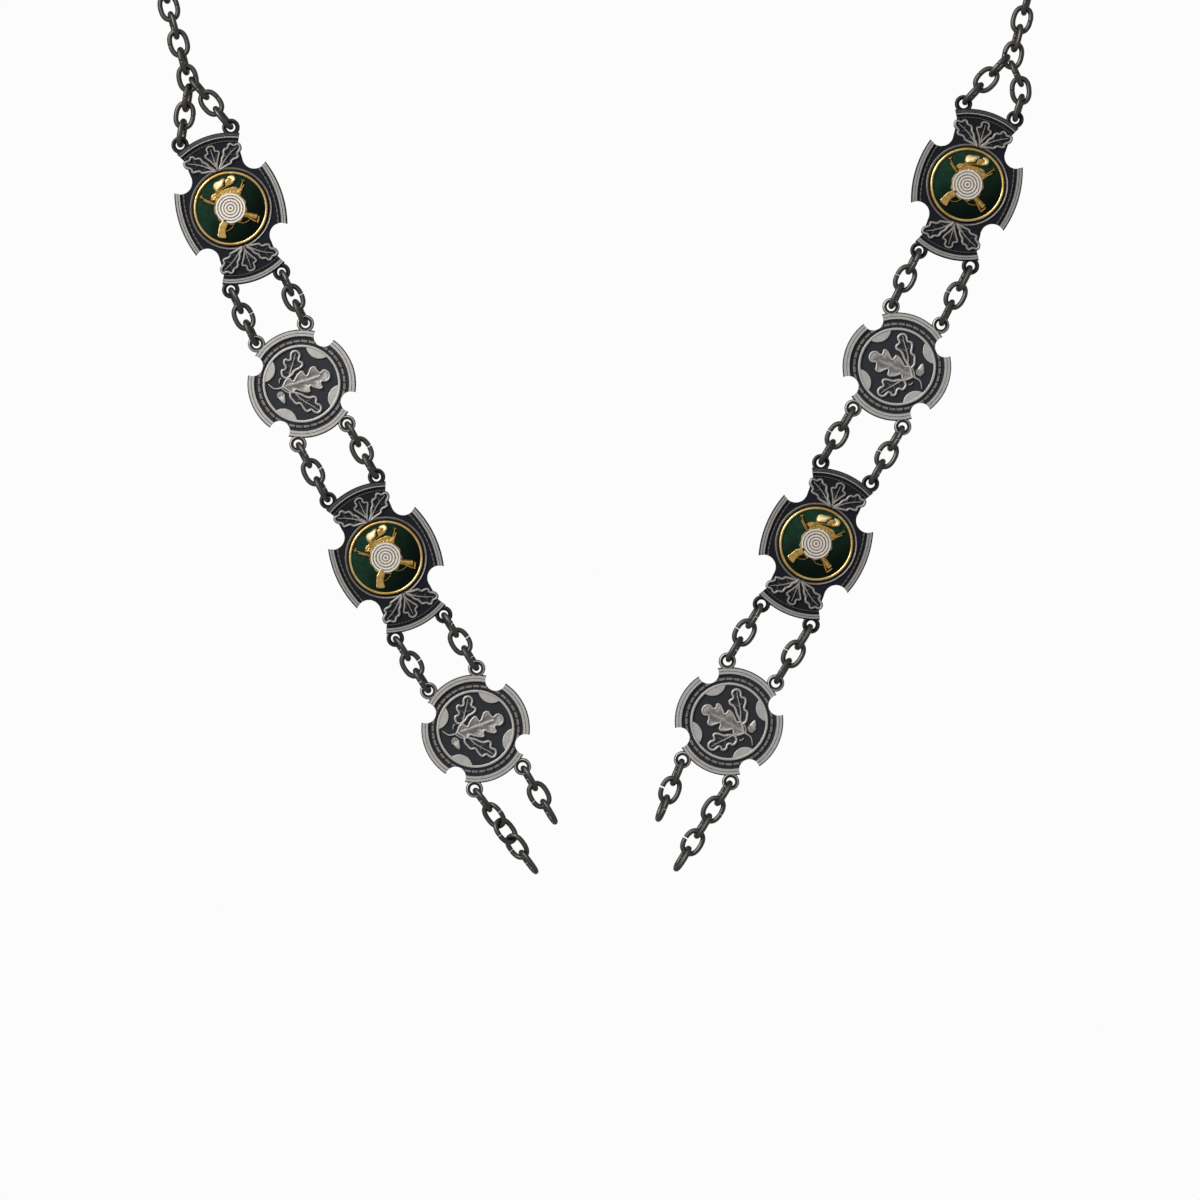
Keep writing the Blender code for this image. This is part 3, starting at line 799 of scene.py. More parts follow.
def dress(
    name: str, mesh: bpy.types.Mesh, materials: Sequence[bpy.types.Material], slot: Slot,
    place: Matrix | None = None, stands_for: Sequence[str] = (),
) -> bpy.types.Object:
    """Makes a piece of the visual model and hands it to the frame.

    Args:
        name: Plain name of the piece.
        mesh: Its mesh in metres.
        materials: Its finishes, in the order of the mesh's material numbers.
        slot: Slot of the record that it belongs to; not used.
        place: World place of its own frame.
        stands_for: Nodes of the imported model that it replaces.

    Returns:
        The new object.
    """
    piece = bpy.data.objects.new(name, mesh)
    bpy.context.scene.collection.objects.link(piece)
    numbers = [polygon.material_index for polygon in mesh.polygons]
    mesh.materials.clear()
    for material in materials:
        mesh.materials.append(material)
    mesh.polygons.foreach_set("material_index", numbers)
    if place is not None:
        piece.matrix_world = place
    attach(piece, BODY)
    if stands_for:
        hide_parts(*stands_for)
    LOG.info("%s: %d faces", name, len(mesh.polygons))
    return piece


def dress_wire(name: str, relief: Relief, steel: bpy.types.Material, stands_for: str) -> None:
    """Makes a piece of bent wire.

    Args:
        name: Plain name of the piece.
        relief: Its links, in the world's frame.
        steel: Finish of the wire.
        stands_for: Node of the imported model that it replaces.
    """
    mesh = relief.mesh(name)
    shade(mesh, WIRE_SHARP_DEG)
    dress(name, mesh, [steel], Slot.STEEL, stands_for=[stands_for])


@dataclass(frozen=True)
class Leaf:
    """Oak leaf in low relief: a body, a raised edge and raised ribs."""

    edge: Outline
    midrib: Outline
    veins: Sequence[Outline] = ()
    body_rise: float = 0.28
    edge_rise: float = 1.02
    rib_rise: float = 0.98
    edge_width: float = 0.95
    rib_width: float = 0.95
    vein_width: float = 0.5
    vein_share: float = 0.62
    valley: float = 0.4
    lobe: float = 3.0
    sunk: float = 0.2
    step: float = 0.34

    def spine_at(self, share: float) -> Vector:
        """Finds a point on the midrib.

        Args:
            share: Share of the midrib's length, from the base.

        Returns:
            The point.
        """
        line = smooth_line(self.midrib, False, self.step)
        place = share * (len(line) - 1)
        i = min(int(place), len(line) - 2)
        return line[i].lerp(line[i + 1], place - i)

    def add_body(self, relief: Relief, line: Sequence[Vector]) -> None:
        """Adds the blade, which sinks from its edge towards the midrib.

        Each level is a share of the way to the midrib, of the blade's height and of the valley.

        Args:
            relief: Casting that takes the leaf.
            line: Smooth outline that starts at the leaf's base.
        """
        tip = self.spine_at(1.0)
        far = min(range(len(line)), key=lambda i: (line[i] - tip).length - 0.2 * (line[i] - line[0]).length)
        levels = (
            (0.0, -self.sunk / self.body_rise, 0.0), (0.0, 0.35, 0.0), (0.04, 0.8, 0.0), (0.14, 1.0, 0.0),
            (0.32, 1.0, 0.25), (0.5, 1.0, 0.8), (0.7, 1.0, 1.0), (0.86, 1.0, 0.7), (0.93, 1.0, 0.2),
        )
        rings: list[Ring] = [[] for _ in levels]
        for i, here in enumerate(line):
            share = i / far if i <= far else (len(line) - i) / (len(line) - far)
            middle = self.spine_at(0.02 + 0.96 * share)
            valley = self.valley * min(1.0, (here - middle).length / self.lobe)
            for ring, (across, height, low) in zip(rings, levels):
                ring.append(here.lerp(middle, across) + flat(0, 0, self.body_rise * (height - low * valley)))
        relief.loft(rings)

    def add_to(self, relief: Relief) -> None:
        """Adds the whole leaf to a casting's relief.

        Args:
            relief: Casting that takes the leaf.
        """
        line = anticlockwise(smooth_line(self.edge, True, self.step))
        start = flat(*self.midrib[0])
        first = min(range(len(line)), key=lambda i: (line[i] - start).length)
        line = line[first:] + line[:first]
        self.add_body(relief, line)
        relief.ridge(inset(line, self.edge_width / 2), self.edge_width, self.edge_rise,
                     self.body_rise * 0.5, closed=True)
        rib = smooth_line(self.midrib, False, self.step)
        relief.ridge(rib, self.rib_width, self.rib_rise, 0.0, taper=0.45)
        for vein in self.veins:
            relief.ridge(smooth_line(vein, False, self.step), self.vein_width,
                         self.rib_rise * self.vein_share, 0.0, taper=0.5)


BIG_LEAF = Leaf(
    edge=(
        (-7.4, 1.5), (-6.5, 0.4), (-5.6, -0.9), (-4.5, -2.1), (-3.6, -2.2), (-2.9, -1.5), (-1.7, -2.4),
        (-0.4, -3.4), (1.2, -4.15), (2.2, -3.9), (2.3, -3.0), (2.7, -2.2), (3.5, -3.0), (4.6, -4.1),
        (5.9, -4.7), (7.0, -4.2), (6.9, -3.1), (7.2, -2.3), (8.6, -2.9), (10.2, -2.5), (11.1, -1.3),
        (11.2, 0.2), (10.4, 1.5), (9.2, 1.95), (8.0, 1.5), (7.5, 2.5), (7.3, 3.9), (6.3, 4.5), (5.0, 4.3),
        (3.9, 3.2), (2.8, 2.3), (2.6, 3.3), (2.4, 4.2), (1.5, 4.6), (0.0, 4.1), (-1.3, 3.3), (-2.35, 2.4),
        (-2.8, 3.3), (-3.7, 4.0), (-5.2, 3.7), (-6.4, 2.6),
    ),
    midrib=((-7.2, 1.45), (-3.0, 0.9), (2.0, 0.35), (7.6, -0.1)),
    veins=(
        ((-4.6, 1.1), (-3.9, 2.1), (-3.6, 3.0)), ((-0.8, 0.65), (0.6, 1.9), (1.7, 3.4)),
        ((3.4, 0.25), (5.0, 1.7), (6.2, 3.3)), ((-4.9, 1.1), (-4.6, 0.1), (-4.1, -1.1)),
        ((-1.8, 0.75), (-0.4, -1.0), (1.0, -2.9)), ((2.8, 0.3), (4.3, -1.4), (5.8, -3.4)),
    ),
    body_rise=0.70, edge_rise=1.04, rib_rise=1.0, edge_width=1.05, rib_width=0.85, vein_width=0.42,
    vein_share=0.70, valley=0.30, lobe=3.2,
)
UPPER_LEAF = Leaf(
    edge=(
        (-4.0, 3.4), (-1.6, 4.1), (-0.4, 4.9), (1.5, 5.1), (3.0, 5.6), (3.7, 6.8), (3.2, 7.9), (2.7, 8.3),
        (3.5, 9.1), (4.0, 10.5), (3.4, 12.1), (1.9, 12.7), (0.5, 12.3), (-0.3, 11.2), (-0.6, 10.3),
        (-1.0, 10.3), (-1.6, 11.0), (-2.5, 11.0), (-3.3, 10.4), (-3.7, 9.3), (-3.5, 8.2), (-3.9, 7.7),
        (-4.7, 7.9), (-5.6, 7.2), (-6.0, 5.7), (-5.6, 4.4),
    ),
    midrib=((-3.3, 4.2), (-1.4, 6.6), (0.4, 8.8), (2.1, 11.1)),
    veins=(((-1.2, 6.9), (-2.1, 8.3), (-2.4, 9.7)), ((-2.4, 5.4), (-3.6, 6.0), (-4.7, 6.5)),
           ((-0.8, 7.4), (0.9, 7.0), (2.5, 6.8)), ((0.9, 9.4), (2.0, 9.6), (2.9, 9.9))),
    edge_width=1.16,
)
LOWER_LEAF = Leaf(
    edge=(
        (-3.4, -1.4), (-1.2, -3.2), (-0.1, -4.5), (1.0, -5.3), (2.7, -5.6), (3.5, -6.9), (3.1, -8.0),
        (2.7, -8.5), (3.5, -9.2), (3.95, -10.5), (3.3, -11.9), (2.0, -12.65), (0.6, -12.3), (-0.3, -11.2),
        (-0.5, -10.6), (-1.1, -10.75), (-2.1, -10.7), (-2.9, -9.8), (-3.3, -8.4), (-3.5, -7.0), (-3.8, -6.7),
        (-4.5, -6.7), (-5.4, -5.8), (-5.8, -4.5), (-6.2, -3.3), (-6.0, -2.0), (-5.2, -0.7), (-4.2, -0.9),
    ),
    midrib=((-3.6, -1.9), (-2.6, -4.6), (-0.9, -7.2), (0.7, -9.3), (2.0, -11.3)),
    veins=(((-2.6, -4.8), (-3.6, -5.1), (-4.5, -5.3)), ((-1.1, -7.0), (-1.8, -8.3), (-2.1, -9.4)),
           ((-1.3, -6.5), (0.5, -6.7), (2.4, -6.9)), ((0.7, -9.2), (1.9, -9.8), (2.9, -10.4))),
    edge_width=1.16,
)
SIDE_LEAF = Leaf(
    edge=(
        (0.2, 14.3), (1.5, 14.3), (3.2, 14.75), (4.8, 15.0), (6.0, 15.3), (6.6, 16.2), (7.8, 16.3),
        (8.9, 16.5), (9.5, 17.4), (9.3, 18.1), (10.1, 18.6), (11.0, 19.4), (11.3, 20.6), (11.0, 21.7),
        (9.9, 22.15), (8.9, 22.1), (8.3, 22.8), (7.3, 23.1), (6.4, 22.7), (5.9, 21.9), (5.0, 21.8),
        (4.1, 21.2), (3.7, 20.2), (3.5, 19.6), (2.8, 19.0), (2.2, 18.1), (1.8, 17.1), (1.0, 16.3),
        (0.4, 15.3),
    ),
    midrib=((0.9, 14.8), (3.6, 17.3), (6.4, 19.2), (9.6, 20.7)),
    veins=(((3.4, 16.9), (5.2, 16.4)), ((4.4, 17.9), (4.7, 19.9)), ((6.2, 19.1), (7.9, 17.9)),
           ((6.8, 19.5), (7.2, 21.6))),
    edge_width=1.12, rib_width=0.98, sunk=0.9,
)
MIDDLE_LEAF = Leaf(
    edge=(
        (0.1, 14.9), (1.1, 17.0), (2.1, 18.8), (2.9, 20.0), (3.3, 21.1), (2.7, 21.9), (1.9, 22.1),
        (2.05, 23.1), (1.4, 24.2), (0.1, 24.55), (-1.2, 24.2), (-1.85, 23.2), (-1.7, 22.1), (-2.5, 21.9),
        (-3.1, 21.1), (-2.7, 20.0), (-1.9, 18.8), (-0.9, 17.0),
    ),
    midrib=((0.1, 15.2), (0.1, 18.5), (0.1, 23.0)),
    veins=(((0.1, 18.2), (1.7, 20.6)), ((0.1, 18.2), (-1.5, 20.6))),
    body_rise=0.26, edge_rise=0.96, rib_rise=0.9, edge_width=1.0, rib_width=0.86,
)


@dataclass(frozen=True)
class Lug:
    """Eye at a casting's corner that takes a link."""

    radius: float
    hole: float
    rise: float
    step: float
    half_thickness: float = 0.65
    sides: int = 40

    def add_to(self, relief: Relief, centre: Vector, finish: int) -> None:
        """Adds the eye to a casting's relief.

        Args:
            relief: Casting that takes it.
            centre: Middle of its hole.
            finish: Number of the material.
        """
        outer, inner = self.radius, self.hole
        relief.turned((
            (inner, -self.half_thickness + 0.15), (inner + 0.15, -self.half_thickness),
            (outer - 0.15, -self.half_thickness), (outer, -self.half_thickness + 0.15),
            (outer, 0.0), (outer - 0.16, 0.1), (outer - 0.24, self.rise - 0.12), (outer - 0.38, self.rise),
            (outer - 0.66, self.rise), (outer - 0.80, self.step + 0.02), (inner + 0.30, self.step),
            (inner + 0.12, self.step - 0.06), (inner, self.step - 0.22),
        ), centre, self.sides, finish)


@dataclass(frozen=True)
class Dashes:
    """Row of short raised bars along an arc."""

    inner: float
    outer: float
    rise: float
    pitch_mm: float
    gap_mm: float

    def add_to(self, relief: Relief, centre: Vector, start_deg: float, end_deg: float) -> None:
        """Adds the bars between two angles.

        Args:
            relief: Casting that takes them.
            centre: Middle of the arc.
            start_deg: Where the row starts.
            end_deg: Where it ends.
        """
        middle = (self.inner + self.outer) / 2
        length = math.radians(end_deg - start_deg) * middle
        count = round(length / self.pitch_mm)
        pitch = (end_deg - start_deg) / count
        bar = pitch * (1 - self.gap_mm / self.pitch_mm)
        for i in range(count):
            first = start_deg + i * pitch + (pitch - bar) / 2
            add_band(relief, centre, (
                (self.inner, FOOT), (self.inner, self.rise * 0.55), (self.inner + 0.14, self.rise),
                (self.outer - 0.14, self.rise), (self.outer, self.rise * 0.55), (self.outer, FOOT),
            ), first, first + bar, 3)


def add_band(
    relief: Relief, centre: Vector, profile: Outline, start_deg: float, end_deg: float, steps: int
) -> None:
    """Adds a profile swept along an arc.

    Args:
        relief: Casting that takes it.
        centre: Middle of the arc.
        profile: Closed profile as radius and height.
        start_deg: Angle of one end.
        end_deg: Angle of the other end.
        steps: Number of straight pieces.
    """
    rings = []
    for i in range(steps + 1):
        angle = math.radians(start_deg + (end_deg - start_deg) * i / steps)
        rings.append([centre + flat(r * math.cos(angle), r * math.sin(angle), z) for r, z in profile])
    relief.loft(rings)


def rim_profile(inner: float, outer: float, rise: float, lines: int) -> list[tuple[float, float]]:
    """Lists the section of a flat rim with fine lines scored along it.

    Args:
        inner: Radius of its inner edge.
        outer: Radius of its outer edge.
        rise: Height of its face.
        lines: Number of scored lines.

    Returns:
        Points from the inner foot over the face to the outer foot.
    """
    score, depth, edge = 0.11, 0.40, 0.2
    depth = min(depth, rise * 0.6)
    points = [(inner, FOOT), (inner, rise * 0.4), (inner + edge * 0.6, rise * 0.85), (inner + edge, rise)]
    face = outer - inner - 2 * edge
    for i in range(1, lines + 1):
        at = inner + edge + face * i / (lines + 1)
        points += [(at - score, rise), (at, rise - depth), (at + score, rise)]
    points += [(outer - edge, rise), (outer - edge * 0.6, rise * 0.85), (outer, rise * 0.4), (outer, FOOT)]
    return points


@dataclass(frozen=True)
class RoundPlate:
    """Round casting: lined rim, dashed ridge, bright ring and an oak spray on a dark field."""

    radius: float = 20.0
    back: float = -1.3
    rim_inner: float = 17.35
    rim_outer: float = 19.68
    rim_rise: float = 1.25
    dash_inner: float = 15.2
    dash_outer: float = 16.3
    dash_rise: float = 0.51
    dash_count: int = 36
    dash_shares: tuple[float, ...] = (0.0, 0.21, 0.42, 0.63, 0.84)
    gap_shares: tuple[float, ...] = (0.875, 0.965)
    gap_rise: float = 0.15
    ring_inner: float = 13.35
    ring_outer: float = 14.45
    ring_rise: float = 0.98
    notch: tuple[float, float] = (14.2, 13.0)
    notch_radius: float = 3.8
    moon: tuple[float, float] = (11.5, 10.5)
    moon_radius: float = 4.95
    moon_rise: float = 0.76
    moon_edge: float = 0.14
    lug: tuple[float, float] = (9.75, 19.944)
    eye: Lug = Lug(radius=3.2, hole=1.6, rise=0.68, step=0.24)

    def profile(self, on_dash: bool) -> list[tuple[float, float]]:
        """Lists the section from the middle of the face round to the middle of the back.

        Args:
            on_dash: Whether the section passes through a dash or a gap between two.

        Returns:
            Points as radius and height.
        """
        dash = self.dash_rise if on_dash else self.gap_rise
        ring = self.ring_rise
        face = [(0.0, 0.0), (5.0, 0.0), (9.0, 0.0), (self.ring_inner - 0.1, 0.0)]
        face += [
            (self.ring_inner, 0.55 * ring), (self.ring_inner + 0.14, 0.9 * ring),
            (self.ring_inner + 0.5, ring), (self.ring_outer - 0.16, 0.9 * ring),
            (self.ring_outer, 0.5 * ring), (self.ring_outer + 0.1, 0.02),
            (self.dash_inner - 0.08, 0.02), (self.dash_inner, 0.55 * dash), (self.dash_inner + 0.13, dash),
            (self.dash_outer - 0.13, dash), (self.dash_outer, 0.55 * dash), (self.dash_outer + 0.08, 0.02),
            (self.rim_inner - 0.08, 0.02),
        ]
        face += rim_profile(self.rim_inner, self.rim_outer, self.rim_rise, 1)[1:-1]
        face += [(self.rim_outer + 0.03, 0.1), (self.radius - 0.08, 0.05), (self.radius, -0.05)]
        return face + [(self.radius, self.back + 0.2), (self.radius - 0.2, self.back), (0.0, self.back)]

    def blank(self) -> bpy.types.Mesh:
        """Builds the turned blank with its dashes and bites the four notches out of it.

        Returns:
            The blank.
        """
        relief = Relief()
        pitch = 360 / self.dash_count
        stations = [(share, True) for share in self.dash_shares]
        stations += [(share, False) for share in self.gap_shares]
        rings = []
        for i in range(self.dash_count):
            for share, on_dash in stations:
                angle = math.radians((i + share) * pitch)
                rings.append([
                    flat(r * math.cos(angle), r * math.sin(angle), z) for r, z in self.profile(on_dash)
                ])
        relief.loft(rings, around=True)
        tools = []
        for centre in four_corners(*self.notch):
            tool = Relief()
            tool.loft([
                [p + flat(0, 0, z) for p in arc(centre, self.notch_radius, 0, 354, 59)] for z in (-4, 4)
            ])
            tools.append(tool.mesh("notch"))
        return bitten(relief.mesh("round_blank"), tools)

    def moon_outline(self, centre: Vector, depth: float) -> list[Vector]:
        """Outlines a half moon that ends under the bright ring.

        Args:
            centre: Middle of its own round edge.
            depth: How far inside its edge the outline runs.

        Returns:
            The outline, anticlockwise.
        """
        radius, limit = self.moon_radius - depth, self.ring_inner + 0.25 - depth
        reach = centre.length
        away = math.degrees(math.atan2(centre.y, centre.x))
        wide = math.degrees(math.acos((reach ** 2 + limit ** 2 - radius ** 2) / (2 * reach * limit)))
        round_half = math.degrees(math.acos((reach ** 2 + radius ** 2 - limit ** 2) / (2 * reach * radius)))
        outer = arc(flat(0, 0), limit, away - wide, away + wide, 24)
        inner = arc(centre, radius, away + 180 - round_half, away + 180 + round_half, 32)
        return outer + inner[1:-1]

    def add_moon(self, relief: Relief, centre: Vector) -> None:
        """Adds a half moon with a rounded edge.

        Args:
            relief: Casting that takes it.
            centre: Middle of its own round edge.
        """
        relief.loft([
            [p + flat(0, 0, height) for p in self.moon_outline(centre, depth)]
            for depth, height in rounded_levels(FOOT, self.moon_rise, self.moon_edge)
        ])

    def spray(self) -> Relief:
        """Builds the three leaves, their stalk, twig and bud, and the acorn.

        Returns:
            The spray.
        """
        relief = Relief()
        for leaf in (UPPER_LEAF, LOWER_LEAF, BIG_LEAF):
            leaf.add_to(relief)
        stalk = smooth_line(((-6.4, 1.4), (-8.6, 1.6), (-9.9, 2.1), (-10.8, 3.3), (-11.4, 4.5)), False, 0.35)
        relief.ridge(stalk, 1.15, 1.05, 0.0, taper=0.4)
        twig = smooth_line(((-7.6, 1.4), (-6.6, -0.2), (-5.4, -1.4), (-3.6, -2.1)), False, 0.35)
        relief.ridge(twig, 0.85, 0.9, 0.0, taper=0.2)
        bud = smooth_line(((-6.2, 4.7), (-7.0, 4.4), (-7.5, 3.3)), False, 0.3)
        relief.ridge(bud, 1.0, 1.0, 0.0, taper=0.3)
        self.add_acorn(relief)
        return relief

    def add_acorn(self, relief: Relief) -> None:
        """Adds the nut and its cup, with four ridges that run together on it as scales.

        Args:
            relief: Casting that takes the acorn.
        """
        cup_x = -8.7
        nut = smooth_line(((-9.8, -1.1), (-9.9, -2.5), (-9.3, -3.9), (-8.5, -4.7), (-7.8, -3.8), (-7.4, -2.5),
                           (-7.4, -1.1)), True, 0.3)
        add_dome(relief, nut, flat(-8.6, -2.9), 0.84)
        cup = smooth_line(((-10.5, -1.9), (-10.4, -0.6), (-9.6, 0.4), (-8.6, 0.7), (-7.5, 0.3), (-6.9, -0.8),
                           (-7.0, -1.8), (-7.9, -1.6), (-8.7, -2.0), (-9.6, -1.6)), True, 0.3)
        add_dome(relief, cup, flat(cup_x, -0.6), 0.6)
        for foot, side in ((-10.0, -0.55), (-9.15, -0.2), (-8.3, 0.15), (-7.4, 0.5)):
            bend = 0.6 * foot + 0.4 * cup_x
            scale = smooth_line(((foot, -1.65), (bend, -0.6), (cup_x + side, 0.35)), False, 0.3)
            relief.ridge(scale, 0.72, 0.96, 0.3, taper=0.4)

    def mesh(self) -> bpy.types.Mesh:
        """Builds the whole casting.

        Returns:
            Its mesh in metres.
        """
        trim = self.spray()
        for centre in four_corners(*self.moon):
            self.add_moon(trim, centre)
        for centre in four_corners(*self.lug):
            self.eye.add_to(trim, centre, 0)
        return joined((self.blank(), trim.mesh("round_trim")), "round_casting")


def add_dome(
    relief: Relief, line: Sequence[Vector], top: Vector, rise: float, foot: float = 0.0, lean: float = 0.0,
    finish: int = 0,
) -> None:
    """Adds a rounded boss with a free outline.

    Args:
        relief: Casting that takes it.
        line: Closed outline.
        top: Where it is highest.
        rise: Height there.
        foot: Height that it rises from.
        lean: Slope of its crown, down towards the upper left.
        finish: Number of the material.
    """
    downhill = flat(*UPPER_LEFT)
    levels = ((0.0, FOOT), (0.0, 0.2), (0.03, 0.38), (0.08, 0.55), (0.16, 0.72), (0.28, 0.86), (0.45, 0.95),
              (0.68, 0.99), (0.92, 1.0))
    line = anticlockwise(line)
    rings = []
    for across, height in levels:
        ring = []
        for point in line:
            here = point.lerp(top, across)
            drop = lean * max(height, 0.0) * (here - top).dot(downhill)
            ring.append(here + flat(0, 0, foot + (rise - foot) * height - drop))
        rings.append(ring)
    relief.loft(rings, finish=finish)


@dataclass(frozen=True)
class CrossPlate:
    """Cross casting: waisted outline, lined rims on four sides, a collar and two sprays of leaves."""

    back: float = -1.3
    reach: float = 28.1
    waist: tuple[tuple[float, float], ...] = ((10.6, 22.3), (10.3, 20.0), (10.15, 18.0))
    notch: tuple[float, float] = (14.5, 15.3)
    notch_radius: float = 4.5
    notch_span: tuple[float, float] = (162.0, 315.0)
    side_centre: float = -18.2
    side_radius: float = 38.0
    end_half_deg: float = 25.42
    end_half_at: float = 24.69
    flare_deg: float = 0.32
    flare_length: float = 3.4
    end_rim: tuple[float, float] = (25.95, 27.75)
    inner_line: float = 0.75
    inner_line_rise: float = 0.90
    upper_band_rise: float = 0.6
    lower_rim_rise: float = 1.22
    end_dashes: Dashes = Dashes(inner=24.5, outer=25.1, rise=0.40, pitch_mm=1.3, gap_mm=0.25)
    side_rim: tuple[float, float] = (35.7, 37.6)
    side_rim_rise: float = 1.2
    side_dashes: Dashes = Dashes(inner=34.2, outer=34.95, rise=0.46, pitch_mm=1.9, gap_mm=0.3)
    collar: tuple[float, float] = (13.8, 15.2)
    lug: tuple[float, float] = (9.9, 28.2)
    eye: Lug = Lug(radius=3.25, hole=1.6, rise=0.46, step=0.12)

    def end_half_angle(self, radius: float) -> float:
        """Gives half the angle that an end arm spans at a radius, in degrees."""
        return self.end_half_deg + (radius - self.end_half_at) / self.flare_length * self.flare_deg

    def side_half_angle(self, radius: float) -> float:
        """Gives half the angle that a side arm spans between its notches.

        Args:
            radius: Distance from the side arcs' own centre.

        Returns:
            The half angle in degrees, seen from that centre.
        """
        across = flat(self.notch[0] - self.side_centre, self.notch[1])
        cosine = (radius ** 2 + across.length_squared - self.notch_radius ** 2) / (2 * radius * across.length)
        return math.degrees(math.atan2(across.y, across.x) - math.acos(cosine))

    def quarter(self) -> list[Vector]:
        """Outlines the upper right quarter.

        Returns:
            Its points, from the top clockwise to the side.
        """
        end = self.end_half_angle(self.reach)
        line = arc(flat(0, 0), self.reach, 90, 90 - end, 12)
        line += [flat(*p) for p in self.waist]
        line += arc(flat(*self.notch), self.notch_radius, *self.notch_span, 22)[1:-1]
        half = self.side_half_angle(self.side_radius)
        return line + arc(flat(self.side_centre, 0), self.side_radius, half, 0, 8)

    def outline(self) -> list[Vector]:
        """Outlines the whole casting.

        Returns:
            Its points, anticlockwise.
        """
        upper = self.quarter()
        left = [flat(-p.x, p.y) for p in reversed(upper[1:])]
        half = left + upper
        lower = [flat(p.x, -p.y) for p in reversed(half[1:-1])]
        return anticlockwise(half + lower)

    def add_rims(self, trim: Relief) -> None:
        """Adds the scored rims and the dashed ridges of all four arms.

        The upper rim is a bright inner line and a lower, darker band outside it.

        Args:
            trim: Casting that takes them.
        """
        origin = flat(0, 0)
        low, high = self.end_rim
        middle = low + self.inner_line
        bands = (
            (90, rim_profile(low, middle, self.inner_line_rise, 0), CrossFinish.SILVER),
            (90, rim_profile(middle, high, self.upper_band_rise, 1), CrossFinish.DEEP_TONE),
            (270, rim_profile(low, high, self.lower_rim_rise, 1), CrossFinish.SILVER),
        )
        for turn, profile, finish in bands:
            add_fitted_band(trim, origin, profile, turn, self.end_half_angle, 22, finish)
        half = self.end_half_angle(self.end_dashes.inner)
        for turn in (90, 270):
            self.end_dashes.add_to(trim, origin, turn - half, turn + half)
        low, high = self.side_rim
        side = Relief()
        centre = flat(self.side_centre, 0)
        profile = rim_profile(low, high, self.side_rim_rise, 1)
        add_fitted_band(side, centre, profile, 0, self.side_half_angle, 20)
        half = self.side_half_angle(self.side_dashes.inner) - 0.2
        self.side_dashes.add_to(side, centre, -half, half)
        trim.copy_turned(side, Matrix.Identity(4))
        trim.copy_turned(side, Matrix.Rotation(math.pi, 4, "Z"))

    def add_sprays(self, trim: Relief) -> None:
        """Adds three leaves to the upper arm and three to the lower one.

        Args:
            trim: Casting that takes them.
        """
        spray = Relief()
        SIDE_LEAF.add_to(spray)
        mirrored = Relief()
        SIDE_LEAF.add_to(mirrored)
        spray.copy_turned(mirrored, Matrix.Scale(-1, 4, Vector((1, 0, 0))))
        MIDDLE_LEAF.add_to(spray)
        trim.copy_turned(spray, Matrix.Identity(4))
        trim.copy_turned(spray, Matrix.Rotation(math.pi, 4, "Z"))

    def mesh(self) -> bpy.types.Mesh:
        """Builds the whole casting.

        Returns:
            Its mesh in metres.
        """
        trim = Relief()
        trim.slab(self.outline(), self.back, 0.0, 0.12)
        self.add_rims(trim)
        self.add_sprays(trim)
        inner, outer = self.collar
        trim.turned((
            (inner, FOOT), (inner, 0.10), (inner + 0.35, 0.24), (outer - 0.45, 0.60), (outer - 0.28, 0.66),
            (outer - 0.1, 0.55), (outer, 0.3), (outer, FOOT),
        ), flat(0, 0), 96)
        for centre in four_corners(*self.lug):
            self.eye.add_to(trim, centre, CrossFinish.DEEP_TONE)
        return trim.mesh("cross_casting")


def add_fitted_band(
    relief: Relief, centre: Vector, profile: Outline, middle_deg: float,
    half_angle: Callable[[float], float], steps: int, finish: int = 0,
) -> None:
    """Adds a profile along an arc whose ends follow an arm's own edge.

    Args:
        relief: Casting that takes it.
        centre: Middle of the arc.
        profile: Closed profile as radius and height.
        middle_deg: Angle of the arc's middle.
        half_angle: Gives half the arc's angle in degrees for a radius.
        steps: Number of straight pieces.
        finish: Number of the material.
    """
    rings = []
    for i in range(steps + 1):
        share = 2 * i / steps - 1
        ring = []
        for radius, height in profile:
            angle = math.radians(middle_deg + share * half_angle(radius))
            ring.append(centre + flat(radius * math.cos(angle), radius * math.sin(angle), height))
        rings.append(ring)
    relief.loft(rings, finish=finish)


